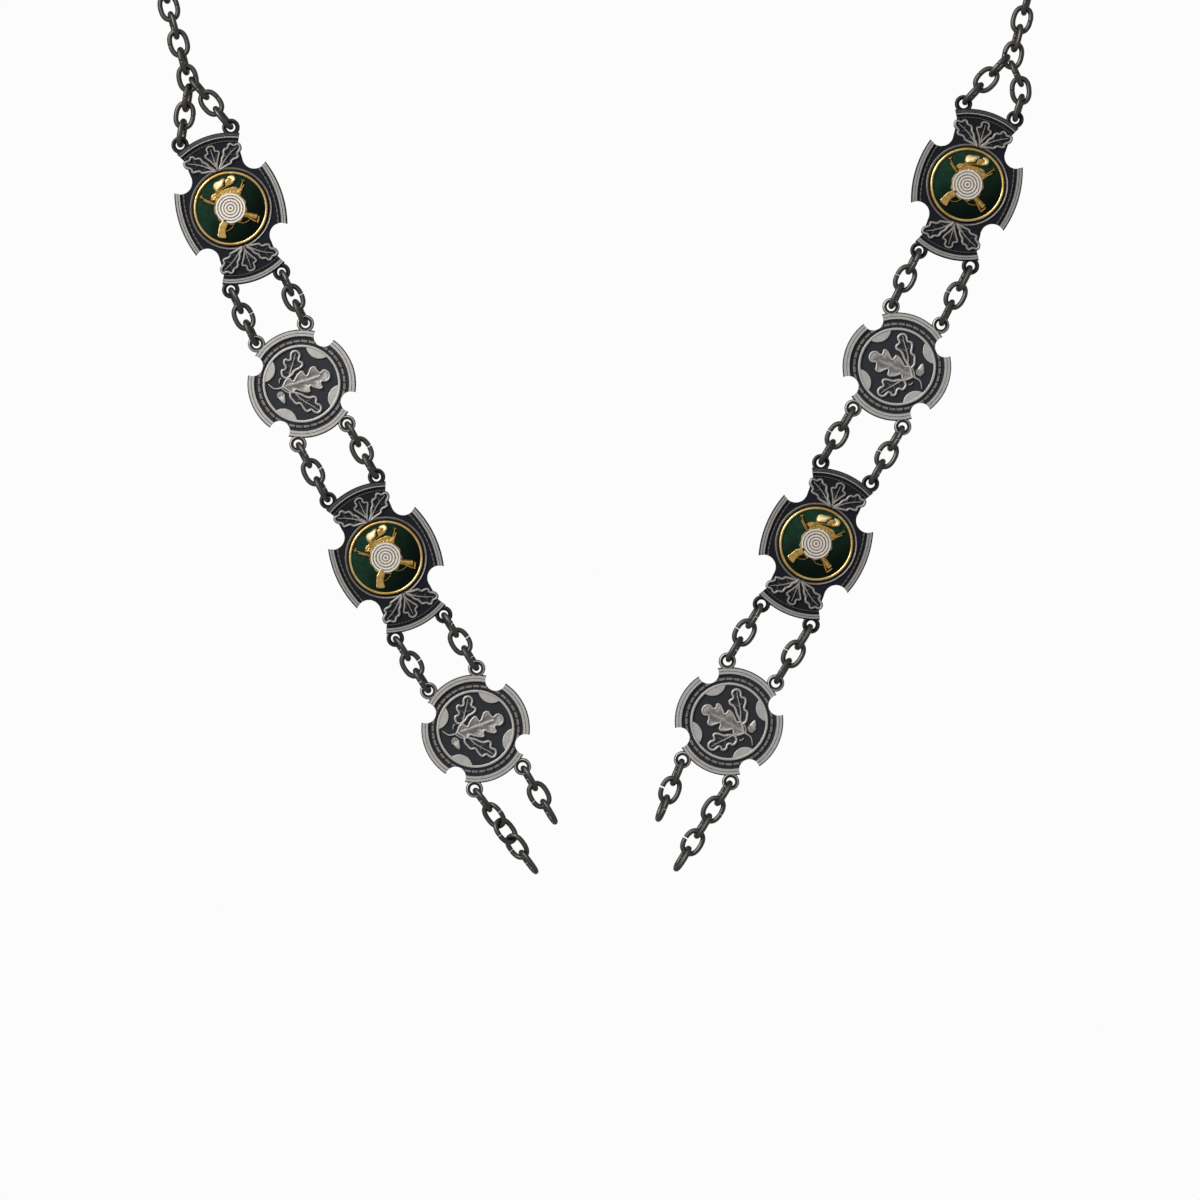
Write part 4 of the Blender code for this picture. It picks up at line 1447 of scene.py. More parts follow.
@dataclass(frozen=True)
class Emblem:
    """Insert on a cross plate: gilt bezel, enamel dome, and a stamped badge of rifles, target and hat."""

    bezel_inner: float = 12.65
    bezel_outer: float = 13.65
    bezel_low: float = 0.3
    bezel_top: float = 1.88
    dome_radius: float = 12.6
    dome_edge: float = 1.08
    dome_top: float = 1.2
    badge_back: float = 1.1
    badge_low: float = 1.45
    badge_top: float = 2.15
    ring_middles: tuple[float, ...] = (0.78, 1.87, 2.97, 4.1, 5.15)
    ring_half: float = 0.35
    line_middles: tuple[float, ...] = (1.32, 2.42, 3.53, 4.62)
    line_half: float = 0.18
    dot_radius: float = 0.42
    disc_radius: float = 5.95
    hat_lean: float = 0.34

    def bezel(self) -> bpy.types.Mesh:
        """Builds the rounded gold ring.

        Returns:
            Its mesh in metres.
        """
        relief = Relief()
        middle = (self.bezel_inner + self.bezel_outer) / 2
        half = (self.bezel_outer - self.bezel_inner) / 2
        crown = []
        for i in range(11):
            angle = math.pi * i / 10
            crown.append((middle - half * math.cos(angle), self.bezel_top - half + half * math.sin(angle)))
        relief.turned(
            [(self.bezel_inner, self.bezel_low), *crown, (self.bezel_outer, self.bezel_low)], flat(0, 0), 128
        )
        return relief.mesh("bezel_ring")

    def enamel(self) -> bpy.types.Mesh:
        """Builds the enamel disc, which is domed a little.

        Returns:
            Its mesh in metres.
        """
        relief = Relief()
        rise = self.dome_top - self.dome_edge
        face = [(0.0, self.dome_top)]
        for share in (0.2, 0.4, 0.6, 0.75, 0.88, 0.96, 1.0):
            face.append((share * self.dome_radius, self.dome_top - rise * share ** 4))
        relief.turned([*face, (self.dome_radius, self.bezel_low), (0.0, self.bezel_low)], flat(0, 0), 96)
        return relief.mesh("enamel_dome")

    def target(self) -> bpy.types.Mesh:
        """Builds the silver rings of the target.

        Returns:
            Their mesh in metres.
        """
        relief = Relief()
        low, top = self.badge_low, self.badge_top
        for middle in self.ring_middles:
            inner, outer = middle - self.ring_half, middle + self.ring_half
            relief.turned((
                (inner, low), (inner, top - 0.1), (inner + 0.08, top),
                (outer - 0.08, top), (outer, top - 0.1), (outer, low),
            ), flat(0, 0), 64)
        return relief.mesh("target_rings")

    def add_disc(self, relief: Relief) -> None:
        """Adds the matt gilt disc under the target, its line rings and its centre dot.

        The disc's edge is uneven, as the leaves behind the target make it.

        Args:
            relief: Badge that takes them.
        """
        low, top = self.badge_low, self.badge_top
        edge = [
            flat(math.cos(a), math.sin(a))
            * (self.disc_radius + 0.16 * math.sin(9 * a) + 0.1 * math.sin(14 * a + 1))
            for a in (2 * math.pi * i / 96 for i in range(96))
        ]
        relief.slab(edge, self.badge_back, low + 0.25, 0.15, finish=BadgeFinish.MATT)
        for middle in self.line_middles:
            inner, outer = middle - self.line_half, middle + self.line_half
            relief.turned(
                ((inner, low), (inner, low + 0.35), (outer, low + 0.35), (outer, low)), flat(0, 0), 64,
                finish=BadgeFinish.MATT,
            )
        relief.turned((
            (0.0, low), (self.dot_radius, low), (self.dot_radius, top - 0.1), (0.3, top + 0.05),
            (0.0, top + 0.1),
        ), flat(0, 0), 24)

    def add_bar(self, relief: Relief, line: Outline, width: float, rise: float) -> None:
        """Adds a rounded bar of the badge.

        Args:
            relief: Badge that takes it.
            line: Points along its middle.
            width: Width in millimetres.
            rise: Height of its crest.
        """
        relief.ridge(smooth_line(line, False, 0.35), width, rise, self.badge_back + 0.05)

    def add_plate(self, relief: Relief, line: Outline, rise: float) -> None:
        """Adds a flat shape of the badge with a rounded edge.

        Args:
            relief: Badge that takes it.
            line: Points round it.
            rise: Height of its face.
        """
        relief.slab(smooth_line(line, True, 0.35), self.badge_back, rise, 0.16)

    def add_rifles(self, relief: Relief) -> None:
        """Adds the crossed rifles: barrels, sights, stocks and slings.

        The one from the upper left has an open stock, the other a full one.

        Args:
            relief: Badge that takes them.
        """
        top = self.badge_top
        self.add_bar(relief, ((-9.0, 7.45), (-7.3, 5.6), (-4.6, 3.2)), 0.75, top)
        self.add_bar(relief, ((-8.4, 5.9), (-6.9, 4.6), (-4.8, 2.9)), 0.85, top - 0.15)
        self.add_bar(relief, ((-7.2, 5.3), (-6.0, 4.2), (-4.6, 3.0)), 1.3, top - 0.25)
        self.add_bar(relief, ((-9.3, 7.1), (-8.3, 7.9)), 0.95, top + 0.05)
        self.add_bar(relief, ((7.8, 8.2), (6.2, 6.3), (4.0, 4.1)), 0.75, top)
        self.add_bar(relief, ((7.6, 6.6), (6.2, 5.3), (4.4, 3.9)), 0.8, top - 0.15)
        self.add_bar(relief, ((6.0, 5.6), (5.0, 4.4), (4.0, 3.2)), 1.6, top - 0.25)
        self.add_bar(relief, ((7.3, 8.6), (8.2, 7.8)), 0.6, top + 0.05)
        self.add_plate(relief, (
            (-3.0, -3.3), (-3.9, -3.2), (-4.8, -3.8), (-5.9, -4.7), (-6.6, -5.8), (-7.3, -7.1), (-7.9, -8.3),
            (-7.1, -9.1), (-6.1, -9.6), (-5.0, -9.7), (-4.8, -8.7), (-4.5, -7.5), (-3.7, -6.3), (-2.8, -5.2),
        ), top)
        self.add_bar(relief, ((3.6, -3.5), (5.2, -4.4), (6.7, -5.3), (8.1, -6.1)), 2.2, top)
        self.add_bar(relief, ((8.85, -6.1), (8.4, -7.1), (7.6, -8.2)), 0.95, top + 0.02)
        self.add_bar(relief, ((4.9, -5.0), (6.1, -6.5), (7.4, -7.8)), 0.8, top - 0.05)
        self.add_bar(relief, ((-4.4, -7.5), (-3.0, -7.4), (-1.6, -6.8), (-0.5, -5.6)), 0.45, top - 0.3)
        self.add_bar(relief, ((0.8, -5.5), (1.9, -6.3), (3.4, -6.7), (5.4, -6.3)), 0.45, top - 0.3)

    def add_hat(self, relief: Relief) -> None:
        """Adds the hunter's hat with its plume, on a wreath of leaves.

        Args:
            relief: Badge that takes them.
        """
        top = self.badge_top
        self.add_plate(relief, (
            (-5.6, 5.4), (-5.0, 6.6), (-3.4, 7.1), (-1.2, 7.2), (2.0, 7.3), (3.9, 7.0), (4.9, 6.2),
            (5.4, 5.0), (4.4, 4.2), (2.0, 4.8), (-2.0, 4.8), (-4.2, 4.3),
        ), self.badge_low + 0.2)
        # The hat's crown and the plume take the paler gilt, partly a painted highlight.
        add_dome(relief, smooth_line((
            (-3.5, 9.2), (-3.1, 10.3), (-2.1, 10.9), (-0.8, 11.0), (0.4, 11.35), (1.5, 11.3), (1.6, 10.5),
            (0.8, 9.7), (0.5, 8.8), (-0.2, 8.3), (-1.3, 7.9), (-2.5, 7.5), (-3.3, 7.9),
        ), True, 0.35), flat(-1.0, 9.4), top + 0.2, self.badge_back + 0.2, self.hat_lean, BadgeFinish.PALE)
        self.add_bar(relief, (
            (-3.4, 7.3), (-2.2, 7.2), (-0.6, 7.7), (1.0, 8.1), (2.6, 8.3), (4.2, 8.7),
        ), 0.8, top)
        self.add_plate(relief, (
            (1.2, 8.3), (1.2, 9.6), (2.2, 10.6), (3.4, 10.4), (4.0, 9.4), (3.2, 8.5),
        ), self.badge_low + 0.25)
        add_dome(relief, smooth_line((
            (2.5, 11.1), (3.4, 11.5), (4.7, 11.3), (5.4, 10.4), (5.3, 9.3), (4.5, 8.7), (3.2, 8.5),
            (2.6, 8.6), (3.3, 9.2), (3.6, 10.0), (3.1, 10.6),
        ), True, 0.35), flat(4.4, 9.9), top + 0.15, self.badge_back + 0.2, self.hat_lean, BadgeFinish.PALE)
        for x, y, turn in (
            (-4.5, 5.9, 150), (-2.9, 5.9, 112), (-1.2, 6.0, 96), (0.6, 6.1, 84), (2.3, 6.1, 62),
            (3.8, 5.9, 45), (-5.2, 5.2, 175), (5.0, 5.0, 20),
        ):
            way = flat(math.cos(math.radians(turn)), math.sin(math.radians(turn)))
            start = flat(x, y) - way * 0.9
            end = flat(x, y) + way * 0.8
            leaf = [start.lerp(end, i / 4) for i in range(5)]
            relief.ridge(leaf, 1.05, top - 0.25, self.badge_back, taper=0.55)

    def badge(self) -> bpy.types.Mesh:
        """Builds the gilt part of the badge.

        Returns:
            Its mesh in metres.
        """
        relief = Relief()
        self.add_disc(relief)
        self.add_rifles(relief)
        self.add_hat(relief)
        return relief.mesh("gilt_badge")


@dataclass(frozen=True)
class Link:
    """Bent wire link with a butt joint left open by a hair.

    Its length and spread are those of the wire's centreline.
    """

    length: float = 9.0
    spread: float = 6.2
    wire: float = 1.9
    fullness: float = 0.85
    slit: float = 0.10
    stations: int = 54
    sides: int = 14
    fine_steps: int = 720
    cut_end: float = 0.9
    streak_shift: float = 0.37

    def path(self, slit_deg: float, slit: float, offset: float) -> list[Vector]:
        """Lists the centreline from one face of the joint round to the other.

        Args:
            slit_deg: Where round the link the joint lies; 90 is its +Y side.
            slit: Width of the joint.
            offset: How far its two ends stand out of line.

        Returns:
            The centreline's points.
        """
        fine = []
        for i in range(self.fine_steps + 1):
            share = i / self.fine_steps
            angle = math.radians(slit_deg + 360 * share)
            cosine, sine = math.cos(angle), math.sin(angle)
            fine.append(flat(
                self.length / 2 * math.copysign(abs(cosine) ** self.fullness, cosine),
                self.spread / 2 * math.copysign(abs(sine) ** self.fullness, sine),
                offset * (share - 0.5),
            ))
        return evenly_spaced(fine, slit / 2, self.stations)

    def add_to(
        self, relief: Relief, start: Vector, end: Vector, turn_deg: float, slit_deg: float = 90.0,
        slit: float | None = None, offset: float = 0.0,
    ) -> None:
        """Adds a link between two points.

        Args:
            relief: Chain that takes it.
            start: Where the centreline of one bow crosses the link's axis.
            end: The same at the other bow.
            turn_deg: Turn about its length, from facing the viewer.
            slit_deg: Where round the link the joint lies.
            slit: Width of the joint, or its usual one.
            offset: How far the joint's ends stand out of line.
        """
        along = (end - start).normalized()
        back = Vector((0, 1, 0))
        side = back.cross(along)
        angle = math.radians(turn_deg)
        across = side * math.cos(angle) + back * math.sin(angle)
        out = along.cross(across)
        middle = (start + end) / 2
        width = self.slit if slit is None else slit
        line = [middle + along * p.x + across * p.y + out * p.z for p in self.path(slit_deg, width, offset)]
        self.add_wire(relief, line, out)

    def add_wire(self, relief: Relief, line: Sequence[Vector], out: Vector) -> None:
        """Sweeps the wire's round section along a line, with softened cut ends.

        Each link of a chain starts elsewhere on the wire map, so that no two show the same streaks.

        Args:
            relief: Chain that takes it.
            line: Centreline.
            out: Direction square to the link's plane.
        """
        rings, uvs = [], []
        run = len(relief.points) * self.streak_shift
        count = len(line)
        for i, here in enumerate(line):
            before = line[max(i - 1, 0)]
            after = line[min(i + 1, count - 1)]
            tangent = (after - before).normalized()
            normal = out.cross(tangent).normalized()
            radius = self.wire / 2 * (self.cut_end if i in (0, count - 1) else 1.0)
            ring, row = [], []
            for k in range(self.sides + 1):
                angle = 2 * math.pi * k / self.sides
                if k < self.sides:
                    ring.append(here + (normal * math.cos(angle) + out * math.sin(angle)) * radius)
                row.append((run, self.wire * math.pi * k / self.sides))
            rings.append(ring)
            uvs.append(row)
            if i < count - 1:
                run += (line[i + 1] - here).length
        relief.loft(rings, uvs=uvs)


def evenly_spaced(line: Sequence[Vector], trim: float, count: int) -> list[Vector]:
    """Resamples an open line, dropping a bit at each end.

    Args:
        line: Fine line.
        trim: Length dropped at each end.
        count: Number of spaces between the points given back, besides a short one at each end.

    Returns:
        Points whose first and last spaces are short, to soften a cut end.
    """
    runs = [0.0]
    for a, b in zip(line, line[1:]):
        runs.append(runs[-1] + (b - a).length)
    first, last = trim, runs[-1] - trim
    soft = 0.1
    between = [first + soft + (last - first - 2 * soft) * i / count for i in range(count + 1)]
    wanted = [first, *between, last]
    points = []
    k = 0
    for distance in wanted:
        while k < len(runs) - 2 and runs[k + 1] < distance:
            k += 1
        share = (distance - runs[k]) / (runs[k + 1] - runs[k])
        points.append(line[k].lerp(line[k + 1], share))
    return points


@dataclass(frozen=True)
class Casting:
    """Where a plate hangs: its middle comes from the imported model, its lean from the photograph."""

    side: Side
    number: int
    kind: Kind
    lean_deg: float

    @property
    def node(self) -> str:
        """Name of the plate's node."""
        return f"{self.kind.value}_plate_{self.side.label}_{self.number}"

    def place(self) -> Matrix:
        """Works out where the casting hangs.

        Returns:
            World place of the casting's own frame.
        """
        low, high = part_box(self.node)
        middle = (Vector(low) + Vector(high)) / 2
        middle.y = 0.0
        lean = Matrix.Rotation(math.radians(self.lean_deg) * self.side.value, 4, "Y")
        return Matrix.Translation(middle) @ lean @ Matrix.Rotation(math.pi / 2, 4, "X")

    def lug(self, outer: bool, upper: bool) -> Vector:
        """Finds the middle of a lug's hole.

        Args:
            outer: Whether the lug is on the side away from the chain's middle.
            upper: Whether it is above or below.

        Returns:
            Its place in the world, in millimetres.
        """
        x, y = CROSS.lug if self.kind is Kind.CROSS else ROUND.lug
        x *= self.side.value * (1 if outer else -1)
        return (self.place() @ (flat(x, y if upper else -y) * MM)) / MM


CROSS = CrossPlate()
ROUND = RoundPlate()
LINK = Link()

CASTINGS = (
    Casting(Side.LEFT, 1, Kind.CROSS, 19.3),
    Casting(Side.LEFT, 1, Kind.ROUND, 22.5),
    Casting(Side.LEFT, 2, Kind.CROSS, 26.0),
    Casting(Side.LEFT, 2, Kind.ROUND, 25.0),
    Casting(Side.RIGHT, 1, Kind.CROSS, 16.9),
    Casting(Side.RIGHT, 1, Kind.ROUND, 20.5),
    Casting(Side.RIGHT, 2, Kind.CROSS, 22.8),
    Casting(Side.RIGHT, 2, Kind.ROUND, 24.5),
)


def strand(side: Side) -> list[Casting]:
    """Lists a strand's castings from the top down."""
    return [casting for casting in CASTINGS if casting.side is side]


@dataclass(frozen=True)
class Chain:
    """Run of links along a line, each turned by its own angle.

    Where a joint gapes, its two ends stand out of line as well.
    """

    turns: Sequence[Turn]
    link: Link = LINK
    slits: Sequence[float] = ()
    widths: Sequence[float] = ()
    play: float = 0.6
    wide_slit: float = 0.5
    wide_offset: float = 0.12

    def add_to(self, relief: Relief, place: Callable[[float], Vector], length: float) -> None:
        """Adds the links along a line: taut where it is long, slack where it is short.

        Args:
            relief: Mesh that takes them.
            place: Gives the point at a distance along the line.
            length: Length of the line.
        """
        count = len(self.turns)
        link = self.link
        slack = length - count * link.length + (count - 1) * link.wire
        pull = min(max(slack / 2, 0.0), self.play)
        size = link.length + max(0.0, slack - 2 * pull) / count
        pitch = (length - 2 * pull - size) / (count - 1)
        link = replace(link, length=size)
        LOG.debug("chain of %d: slack %.2f mm, link %.2f mm", count, slack, size)
        for i, turn in enumerate(self.turns):
            first = pull + i * pitch
            slit_deg = self.slits[i] if i < len(self.slits) else 90.0
            width = self.widths[i] if i < len(self.widths) else link.slit
            link.add_to(
                relief, place(first), place(first + size), turn.value, slit_deg, width,
                offset=self.wide_offset if width > self.wide_slit else 0.0,
            )


def bowed(start: Vector, end: Vector, bow: float) -> tuple[Callable[[float], Vector], float]:
    """Makes the line between two points, bowed sideways as an arc.

    Args:
        start: First point.
        end: Last point.
        bow: How far the middle stands off the straight line.

    Returns:
        A function from distance to point, and the line's length.
    """
    run = end - start
    along = run.normalized()
    if bow == 0:
        return lambda distance: start + along * distance, run.length
    side = Vector((0, 1, 0)).cross(along)
    radius = (run.length ** 2 / 4 + bow ** 2) / (2 * bow)
    half = math.asin(run.length / 2 / radius)
    middle = start + run / 2 - side * (radius - bow)
    length = abs(2 * radius * half)

    def place(distance: float) -> Vector:
        """Finds the point at a distance along the arc."""
        angle = half * (2 * distance / length - 1)
        return middle + radius * (side * math.cos(angle) + along * math.sin(angle))

    return place, length


@dataclass(frozen=True)
class GapChains:
    """Pairs of three-link chains between neighbouring castings of a strand."""

    side: Side
    turns: Sequence[Turn] = (Turn.EDGE_ON, Turn.FACE_ON, Turn.EDGE_BACK)
    widths: Sequence[float] = (0.1, 0.25, 0.1)

    def build(self, steel: bpy.types.Material) -> None:
        """Builds the six chains of the strand.

        The joints of the links that show their edge lie in front and behind by turns.

        Args:
            steel: Finish of the wire.
        """
        castings = strand(self.side)
        for number, (above, below) in enumerate(zip(castings, castings[1:]), start=1):
            for outer in (True, False):
                relief = Relief()
                start = above.lug(outer, upper=False)
                end = below.lug(outer, upper=True)
                place, length = bowed(start, end, 0.0)
                front = (90.0, -90.0)[(number + outer) % 2]
                slits = (front, 90.0 * self.side.value, -front)
                Chain(self.turns, slits=slits, widths=self.widths).add_to(relief, place, length)
                label = f"{self.side.label}_{number}_{'outer' if outer else 'inner'}"
                dress_wire(f"short_chain_{label}", relief, steel, f"gap_chain_{label}")


@dataclass(frozen=True)
class FreeChain:
    """Chain that hangs free from a lowest casting."""

    side: Side
    outer: bool
    inward_deg: float
    turns: Sequence[Turn]
    slits: Sequence[float]
    widths: Sequence[float] = ()
    pulled: float = 0.5

    def build(self, steel: bpy.types.Material) -> None:
        """Builds the chain.

        Args:
            steel: Finish of the wire.
        """
        start = strand(self.side)[-1].lug(self.outer, upper=False)
        angle = math.radians(self.inward_deg)
        way = Vector((-self.side.value * math.sin(angle), 0, -math.cos(angle)))
        count = len(self.turns)
        length = count * LINK.length - (count - 1) * LINK.wire
        relief = Relief()
        chain = Chain(self.turns, slits=self.slits, widths=self.widths)
        chain.add_to(relief, lambda distance: start + way * (self.pulled + distance), length)
        label = f"{self.side.label}_{'outer' if self.outer else 'inner'}"
        dress_wire(f"free_chain_{label}", relief, steel, f"lower_chain_{label}")


FREE_CHAINS = (
    FreeChain(
        Side.LEFT, outer=False, inward_deg=30.4, slits=(90.0, 80.0, 90.0),
        turns=(Turn.EDGE_ON, Turn.FACE_ON, Turn.EDGE_ON),
    ),
    FreeChain(
        Side.LEFT, outer=True, inward_deg=36.6, slits=(90.0, -90.0, 90.0, 90.0, 90.0),
        turns=(Turn.EDGE_ON, Turn.ROLLED_RIGHT, Turn.ROLLED_LEFT, Turn.ROLLED_RIGHT, Turn.EDGE_ON),
        widths=(0.1, 0.14, 0.14, 0.14),
    ),
    FreeChain(
        Side.RIGHT, outer=False, inward_deg=22.3, slits=(90.0, 90.0, -90.0),
        turns=(Turn.EDGE_ON, Turn.FACE_ON, Turn.EDGE_ON), widths=(0.1, 0.6, 0.1),
    ),
    FreeChain(
        Side.RIGHT, outer=True, inward_deg=32.1, slits=(90.0, -90.0, 90.0, 90.0, 90.0),
        turns=(Turn.EDGE_ON, Turn.FACE_ON, Turn.EDGE_ON, Turn.FACE_ON, Turn.EDGE_ON),
        widths=(0.1, 0.1, 0.1, 0.55, 0.1),
    ),
)


@dataclass(frozen=True)
class NeckChain:
    """Single chain over one shoulder, from the ring at the nape to the link that joins a pair.

    The route is given as (outward, up) in millimetres, from near the ring to the join link.
    """

    side: Side
    route: Outline
    ring_diameter: float = 26.0
    ring_wire: float = 2.4
    ring_play: float = 0.6
    exit_deg: float = 13.0
    loose_lap: float = 2.484
    corner: float = 1.092
    step: float = 0.6
    join_clearance: float = 7.0
    turns: Sequence[Turn] = (Turn.EDGE_ON, Turn.FACE_ON, Turn.EDGE_BACK, Turn.FACE_ON)
    slits: Sequence[float] = (90.0, 90.0, -90.0, -90.0)

    def points(self) -> list[Vector]:
        """Lists close points of the route.

        Returns:
            Points from the ring to the join link's middle.
        """
        angle = math.radians(self.exit_deg)
        away = Vector((self.side.value * math.cos(angle), 0, -math.sin(angle)))
        first = away * (self.ring_diameter / 2 + LINK.length / 2)
        knots = [(first.x, first.z)] + [(self.side.value * x, z) for x, z in self.route]
        return [Vector((p.x, 0, p.y)) for p in smooth_line(knots, False, self.step)]

    def join(self) -> tuple[Vector, Vector]:
        """Gives the join link's middle and the direction up its length."""
        points = self.points()
        return points[-1], (points[-4] - points[-1]).normalized()

    def line(self) -> list[Vector]:
        """Lists close points of the links' line.

        Returns:
            Points from inside the ring to inside the join link.
        """
        points = self.points()
        join, axis = self.join()
        away = points[0].normalized()
        inside = away * (self.ring_diameter / 2 - self.ring_wire - self.corner - self.ring_play)
        last = join + axis * (LINK.length / 2 - self.loose_lap)
        points = [p for p in points if (p - join).length > self.join_clearance]
        return [inside, *points, last]

    def build(self, steel: bpy.types.Material) -> None:
        """Builds the links over the shoulder, an odd number of them, spread evenly along the line.

        Args:
            steel: Finish of the wire.
        """
        line = self.line()
        runs = [0.0]
        for a, b in zip(line, line[1:]):
            runs.append(runs[-1] + (b - a).length)
        length = runs[-1]
        touching = LINK.length - LINK.wire
        count = 1 + 2 * math.ceil((length - LINK.length) / touching / 2)
        pitch = (length - LINK.length) / (count - 1)
        relief = Relief()

        def place(distance: float) -> Vector:
            """Finds the point at a distance along the line."""
            k = max(i for i, run in enumerate(runs[:-1]) if run <= distance + 1e-9)
            return line[k].lerp(line[k + 1], (distance - runs[k]) / (runs[k + 1] - runs[k]))

        for i in range(count):
            first = i * pitch
            turn = self.turns[i % len(self.turns)]
            slit_deg = self.slits[i % len(self.slits)]
            LINK.add_to(relief, place(first), place(first + LINK.length), turn.value, slit_deg)
        LOG.info("neck chain %s: %d links, %.2f mm apart", self.side.label, count, pitch)
        dress_wire(f"shoulder_chain_{self.side.label}", relief, steel, f"neck_chain_{self.side.label}")


@dataclass(frozen=True)
class UpperChains:
    """Join link with its pair of three-link chains down to a strand's first casting.

    A hook is where a chain holds the join link, as shares of its length and of its spread.
    """

    neck: NeckChain
    outer_bow: float = 0.0
    outer_hook: tuple[float, float] = (-0.306, 0.0)
    inner_hook: tuple[float, float] = (-0.05, 0.22)
    turns: Sequence[Turn] = (Turn.EDGE_ON, Turn.FACE_ON, Turn.EDGE_ON)

    def build(self, steel: bpy.types.Material) -> None:
        """Builds the join link and both chains.

        Args:
            steel: Finish of the wire.
        """
        side = self.neck.side
        join, axis = self.neck.join()
        inward = Vector((0, 1, 0)).cross(axis)
        if inward.x * side.value > 0:
            inward = -inward
        relief = Relief()
        half = LINK.length / 2
        LINK.add_to(relief, join - axis * half, join + axis * half, Turn.FACE_ON.value,
                    90.0 if side is Side.LEFT else -90.0)
        first = strand(side)[0]
        for outer, hook, bow in ((True, self.outer_hook, self.outer_bow), (False, self.inner_hook, 0.0)):
            start = first.lug(outer, upper=True)
            end = join + axis * LINK.length * hook[0] + inward * LINK.spread * hook[1]
            place, length = bowed(start, end, bow * side.value)
            Chain(self.turns, slits=(90.0, -90.0 * side.value, -90.0)).add_to(relief, place, length)
        dress_wire(f"join_chains_{side.label}", relief, steel, f"upper_chain_{side.label}")


LEFT_NECK = NeckChain(Side.LEFT, ((60, -16.5), (112, -46), (148, -90), (161.5, -139), (151.8, -186.3)))
RIGHT_NECK = NeckChain(Side.RIGHT, ((60, -16.5), (112, -45), (148, -87), (161.2, -132), (152.0, -177.8)))
UPPER_CHAINS = (UpperChains(LEFT_NECK), UpperChains(RIGHT_NECK, outer_bow=3.3))


@dataclass(frozen=True)
class NeckRing:
    """Plain ring of round wire at the nape."""

    diameter: float = 26.0
    wire: float = 2.4
    slit_deg: float = 2.0
    stations: int = 96
    sides: int = 20

    def build(self, steel: bpy.types.Material) -> None:
        """Builds the ring, bent from wire with a butt joint at the bottom.

        Args:
            steel: Finish of the wire.
        """
        relief = Relief()
        radius = (self.diameter - self.wire) / 2
        line = []
        for i in range(self.stations + 1):
            share = i / self.stations
            angle = math.radians(-90 + self.slit_deg / 2 + (360 - self.slit_deg) * share)
            line.append(Vector((radius * math.cos(angle), 0, radius * math.sin(angle))))
        Link(wire=self.wire, sides=self.sides).add_wire(relief, line, Vector((0, 1, 0)))
        dress_wire("nape_ring", relief, steel, "neck_ring")


@dataclass(frozen=True)
class Castings:
    """All the plates with the emblems on them."""

    emblem: Emblem = Emblem()

    def build(self, finishes: Finishes) -> None:
        """Builds each pattern once and places a copy for every plate.

        The round castings of the right strand hang turned by half a turn, as in the photograph.

        Args:
            finishes: Every material of the chain.
        """
        meshes = {
            "cross": CROSS.mesh(), "round": ROUND.mesh(), "bezel": self.emblem.bezel(),
            "enamel": self.emblem.enamel(), "badge": self.emblem.badge(), "target": self.emblem.target(),
        }
        for mesh in meshes.values():
            shade(mesh, CAST_SHARP_DEG)
        half_turn = Matrix.Rotation(math.pi, 4, "Z")
        for casting in CASTINGS:
            label = f"{casting.side.label}_{casting.number}"
            place = casting.place()
            if casting.kind is Kind.ROUND:
                if casting.side is Side.RIGHT:
                    place = place @ half_turn
                dress(f"oak_casting_{label}", meshes["round"].copy(), [finishes.rubbed], Slot.SILVER, place,
                      [casting.node])
                continue
            dress(f"cross_casting_{label}", meshes["cross"].copy(), [finishes.silver, finishes.deep_tone],
                  Slot.SILVER, place, [casting.node])
            dress(f"gold_bezel_{label}", meshes["bezel"].copy(), [finishes.polished_gilt], Slot.GILT, place,
                  [f"bezel_{label}"])
            dress(f"green_dome_{label}", meshes["enamel"].copy(), [finishes.enamel], Slot.ENAMEL, place,
                  [f"enamel_{label}"])
            dress(f"gilt_badge_{label}", meshes["badge"].copy(),
                  [finishes.gilt, finishes.matt_gilt, finishes.pale_gilt], Slot.GILT, place,
                  [f"emblem_relief_{label}"])
            dress(f"target_rings_{label}", meshes["target"].copy(), [finishes.satin], Slot.SILVER, place)


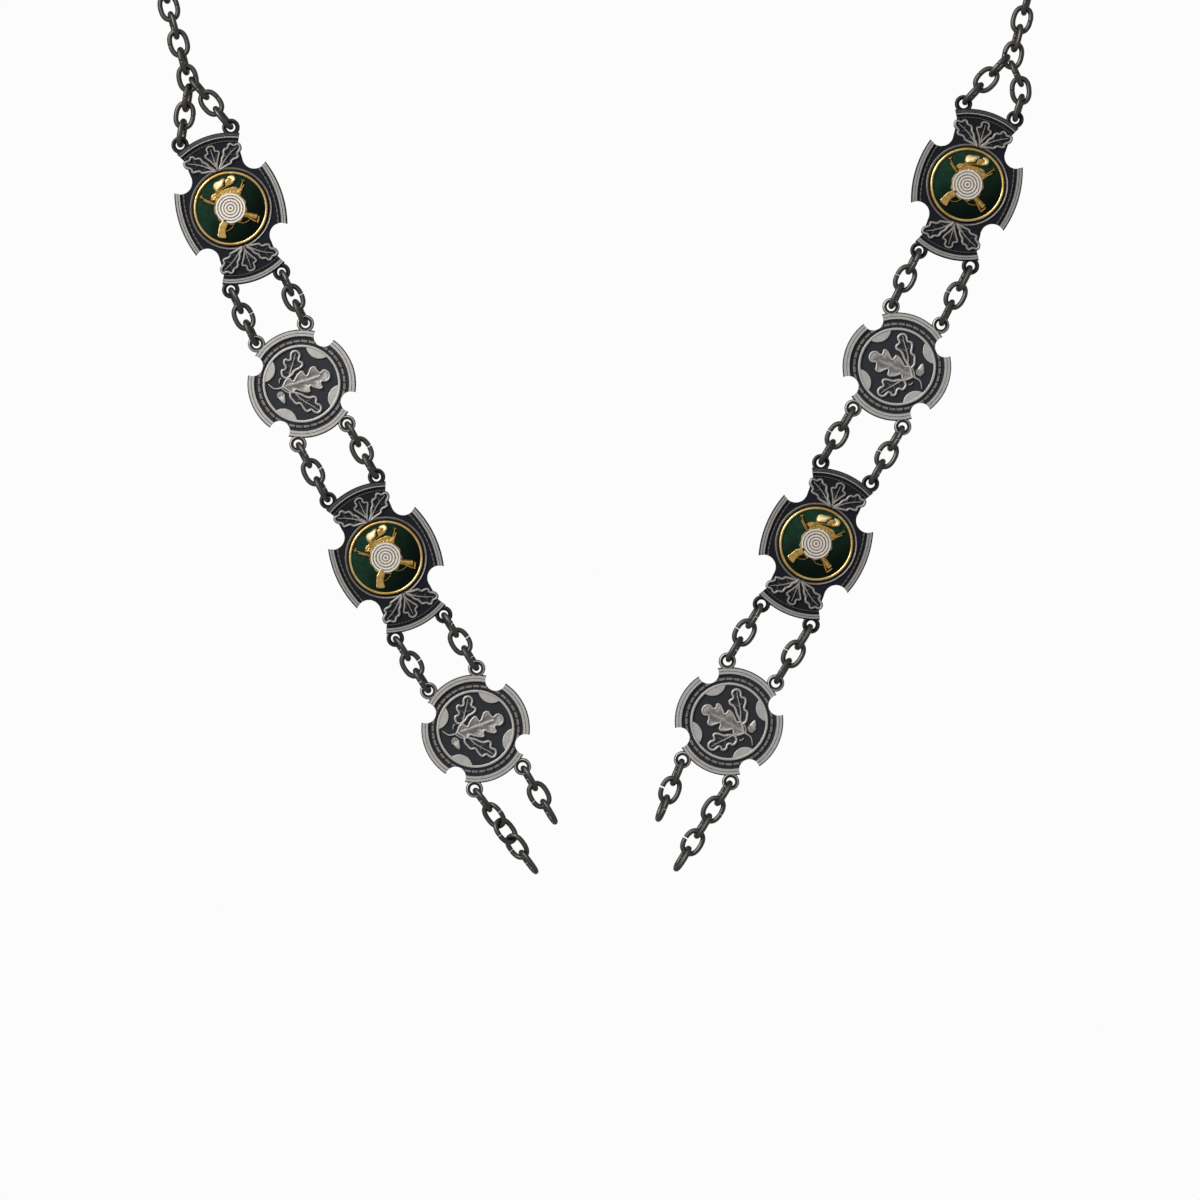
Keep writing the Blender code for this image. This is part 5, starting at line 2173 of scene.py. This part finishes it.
@dataclass(frozen=True)
class Studio:
    """Plain pale ground, soft lights and the camera at the photograph's angle."""

    distance: float = 2.2
    lens: float = 179.3
    sensor: float = 36.0
    middle_z: float = -0.3783
    softbox: float = 1.3
    key_place: tuple[float, float, float] = (-1.3, -1.7, 0.75)
    key_watts: float = 58.0
    fill_place: tuple[float, float, float] = (1.2, -1.9, -0.7)
    fill_watts: float = 22.0
    surround: str = "#E6E8EC"
    surround_strength: float = 0.6
    ground: str = "#FCFCFC"
    floor_z: float = -0.50
    floor_half: float = 4.0

    def build(self) -> None:
        """Sets the camera, the lights, the world and the ground.

        The fill light isn't mirrored in the metal.
        """
        bpy.context.scene.view_settings.view_transform = "Standard"
        self.add_camera()
        self.add_softbox("key", self.key_place, self.key_watts)
        fill = self.add_softbox("fill", self.fill_place, self.fill_watts)
        fill.visible_glossy = False
        self.add_world()
        self.add_ground()

    def add_camera(self) -> None:
        """Adds the camera, level and square to the chain."""
        data = bpy.data.cameras.new("camera")
        data.lens = self.lens
        data.sensor_width = self.sensor
        camera = bpy.data.objects.new("camera", data)
        camera.location = (0, -self.distance, self.middle_z)
        camera.rotation_euler = (math.pi / 2, 0, 0)
        bpy.context.scene.collection.objects.link(camera)
        bpy.context.scene.camera = camera

    def add_softbox(self, name: str, place: tuple[float, float, float], watts: float) -> bpy.types.Object:
        """Adds a square soft light that faces the chain.

        Args:
            name: Name of the light.
            place: Where it stands.
            watts: Its power.

        Returns:
            The light.
        """
        data = bpy.data.lights.new(name, "AREA")
        data.shape = "SQUARE"
        data.size = self.softbox
        data.energy = watts
        light = bpy.data.objects.new(name, data)
        light.location = place
        way = Vector((0, 0, self.middle_z)) - light.location
        light.rotation_euler = way.to_track_quat("-Z", "Y").to_euler()
        bpy.context.scene.collection.objects.link(light)
        return light

    def add_world(self) -> None:
        """Adds a white surround whose reflections are dimmer than its look."""
        world = bpy.data.worlds.new("studio")
        world.use_nodes = True
        bpy.context.scene.world = world
        tree = world.node_tree
        tree.nodes.clear()
        seen = add_node(tree, "ShaderNodeBackground", inputs={"Color": linear(self.ground), "Strength": 1.0})
        thrown = add_node(tree, "ShaderNodeBackground", inputs={
            "Color": linear(self.surround), "Strength": self.surround_strength,
        })
        path = add_node(tree, "ShaderNodeLightPath")
        mix = add_node(tree, "ShaderNodeMixShader", inputs={
            0: path.outputs["Is Camera Ray"], 1: thrown.outputs[0], 2: seen.outputs[0],
        })
        add_node(tree, "ShaderNodeOutputWorld", inputs={"Surface": mix.outputs[0]})

    def add_ground(self) -> bpy.types.Object:
        """Adds the pale floor under the lowest link, which glows evenly and lights nothing.

        Returns:
            The floor.
        """
        material, _, shader = start_material("pale_paper", 0.0, 1.0)
        shader.inputs["Base Color"].default_value = linear("#000000")
        shader.inputs["Specular IOR Level"].default_value = 0.0
        shader.inputs["Emission Color"].default_value = linear(self.ground)
        shader.inputs["Emission Strength"].default_value = 1.0
        mesh = bpy.data.meshes.new("floor")
        half, z = self.floor_half, self.floor_z
        corners = [(-half, -half, z), (half, -half, z), (half, half, z), (-half, half, z)]
        mesh.from_pydata(corners, [], [(0, 1, 2, 3)])
        mesh.materials.append(material)
        floor = bpy.data.objects.new("floor", mesh)
        bpy.context.scene.collection.objects.link(floor)
        floor.visible_diffuse = False
        floor.visible_glossy = False
        return floor


def main() -> None:
    """Builds the whole visual model and the studio."""
    logging.basicConfig(level=logging.INFO, format="%(message)s")
    finishes = Finishes()
    Castings().build(finishes)
    for upper in UPPER_CHAINS:
        upper.neck.build(finishes.steel)
        upper.build(finishes.steel)
        GapChains(upper.neck.side).build(finishes.steel)
    for chain in FREE_CHAINS:
        chain.build(finishes.steel)
    NeckRing().build(finishes.steel)
    Studio().build()


if __name__ == "__main__":
    main()
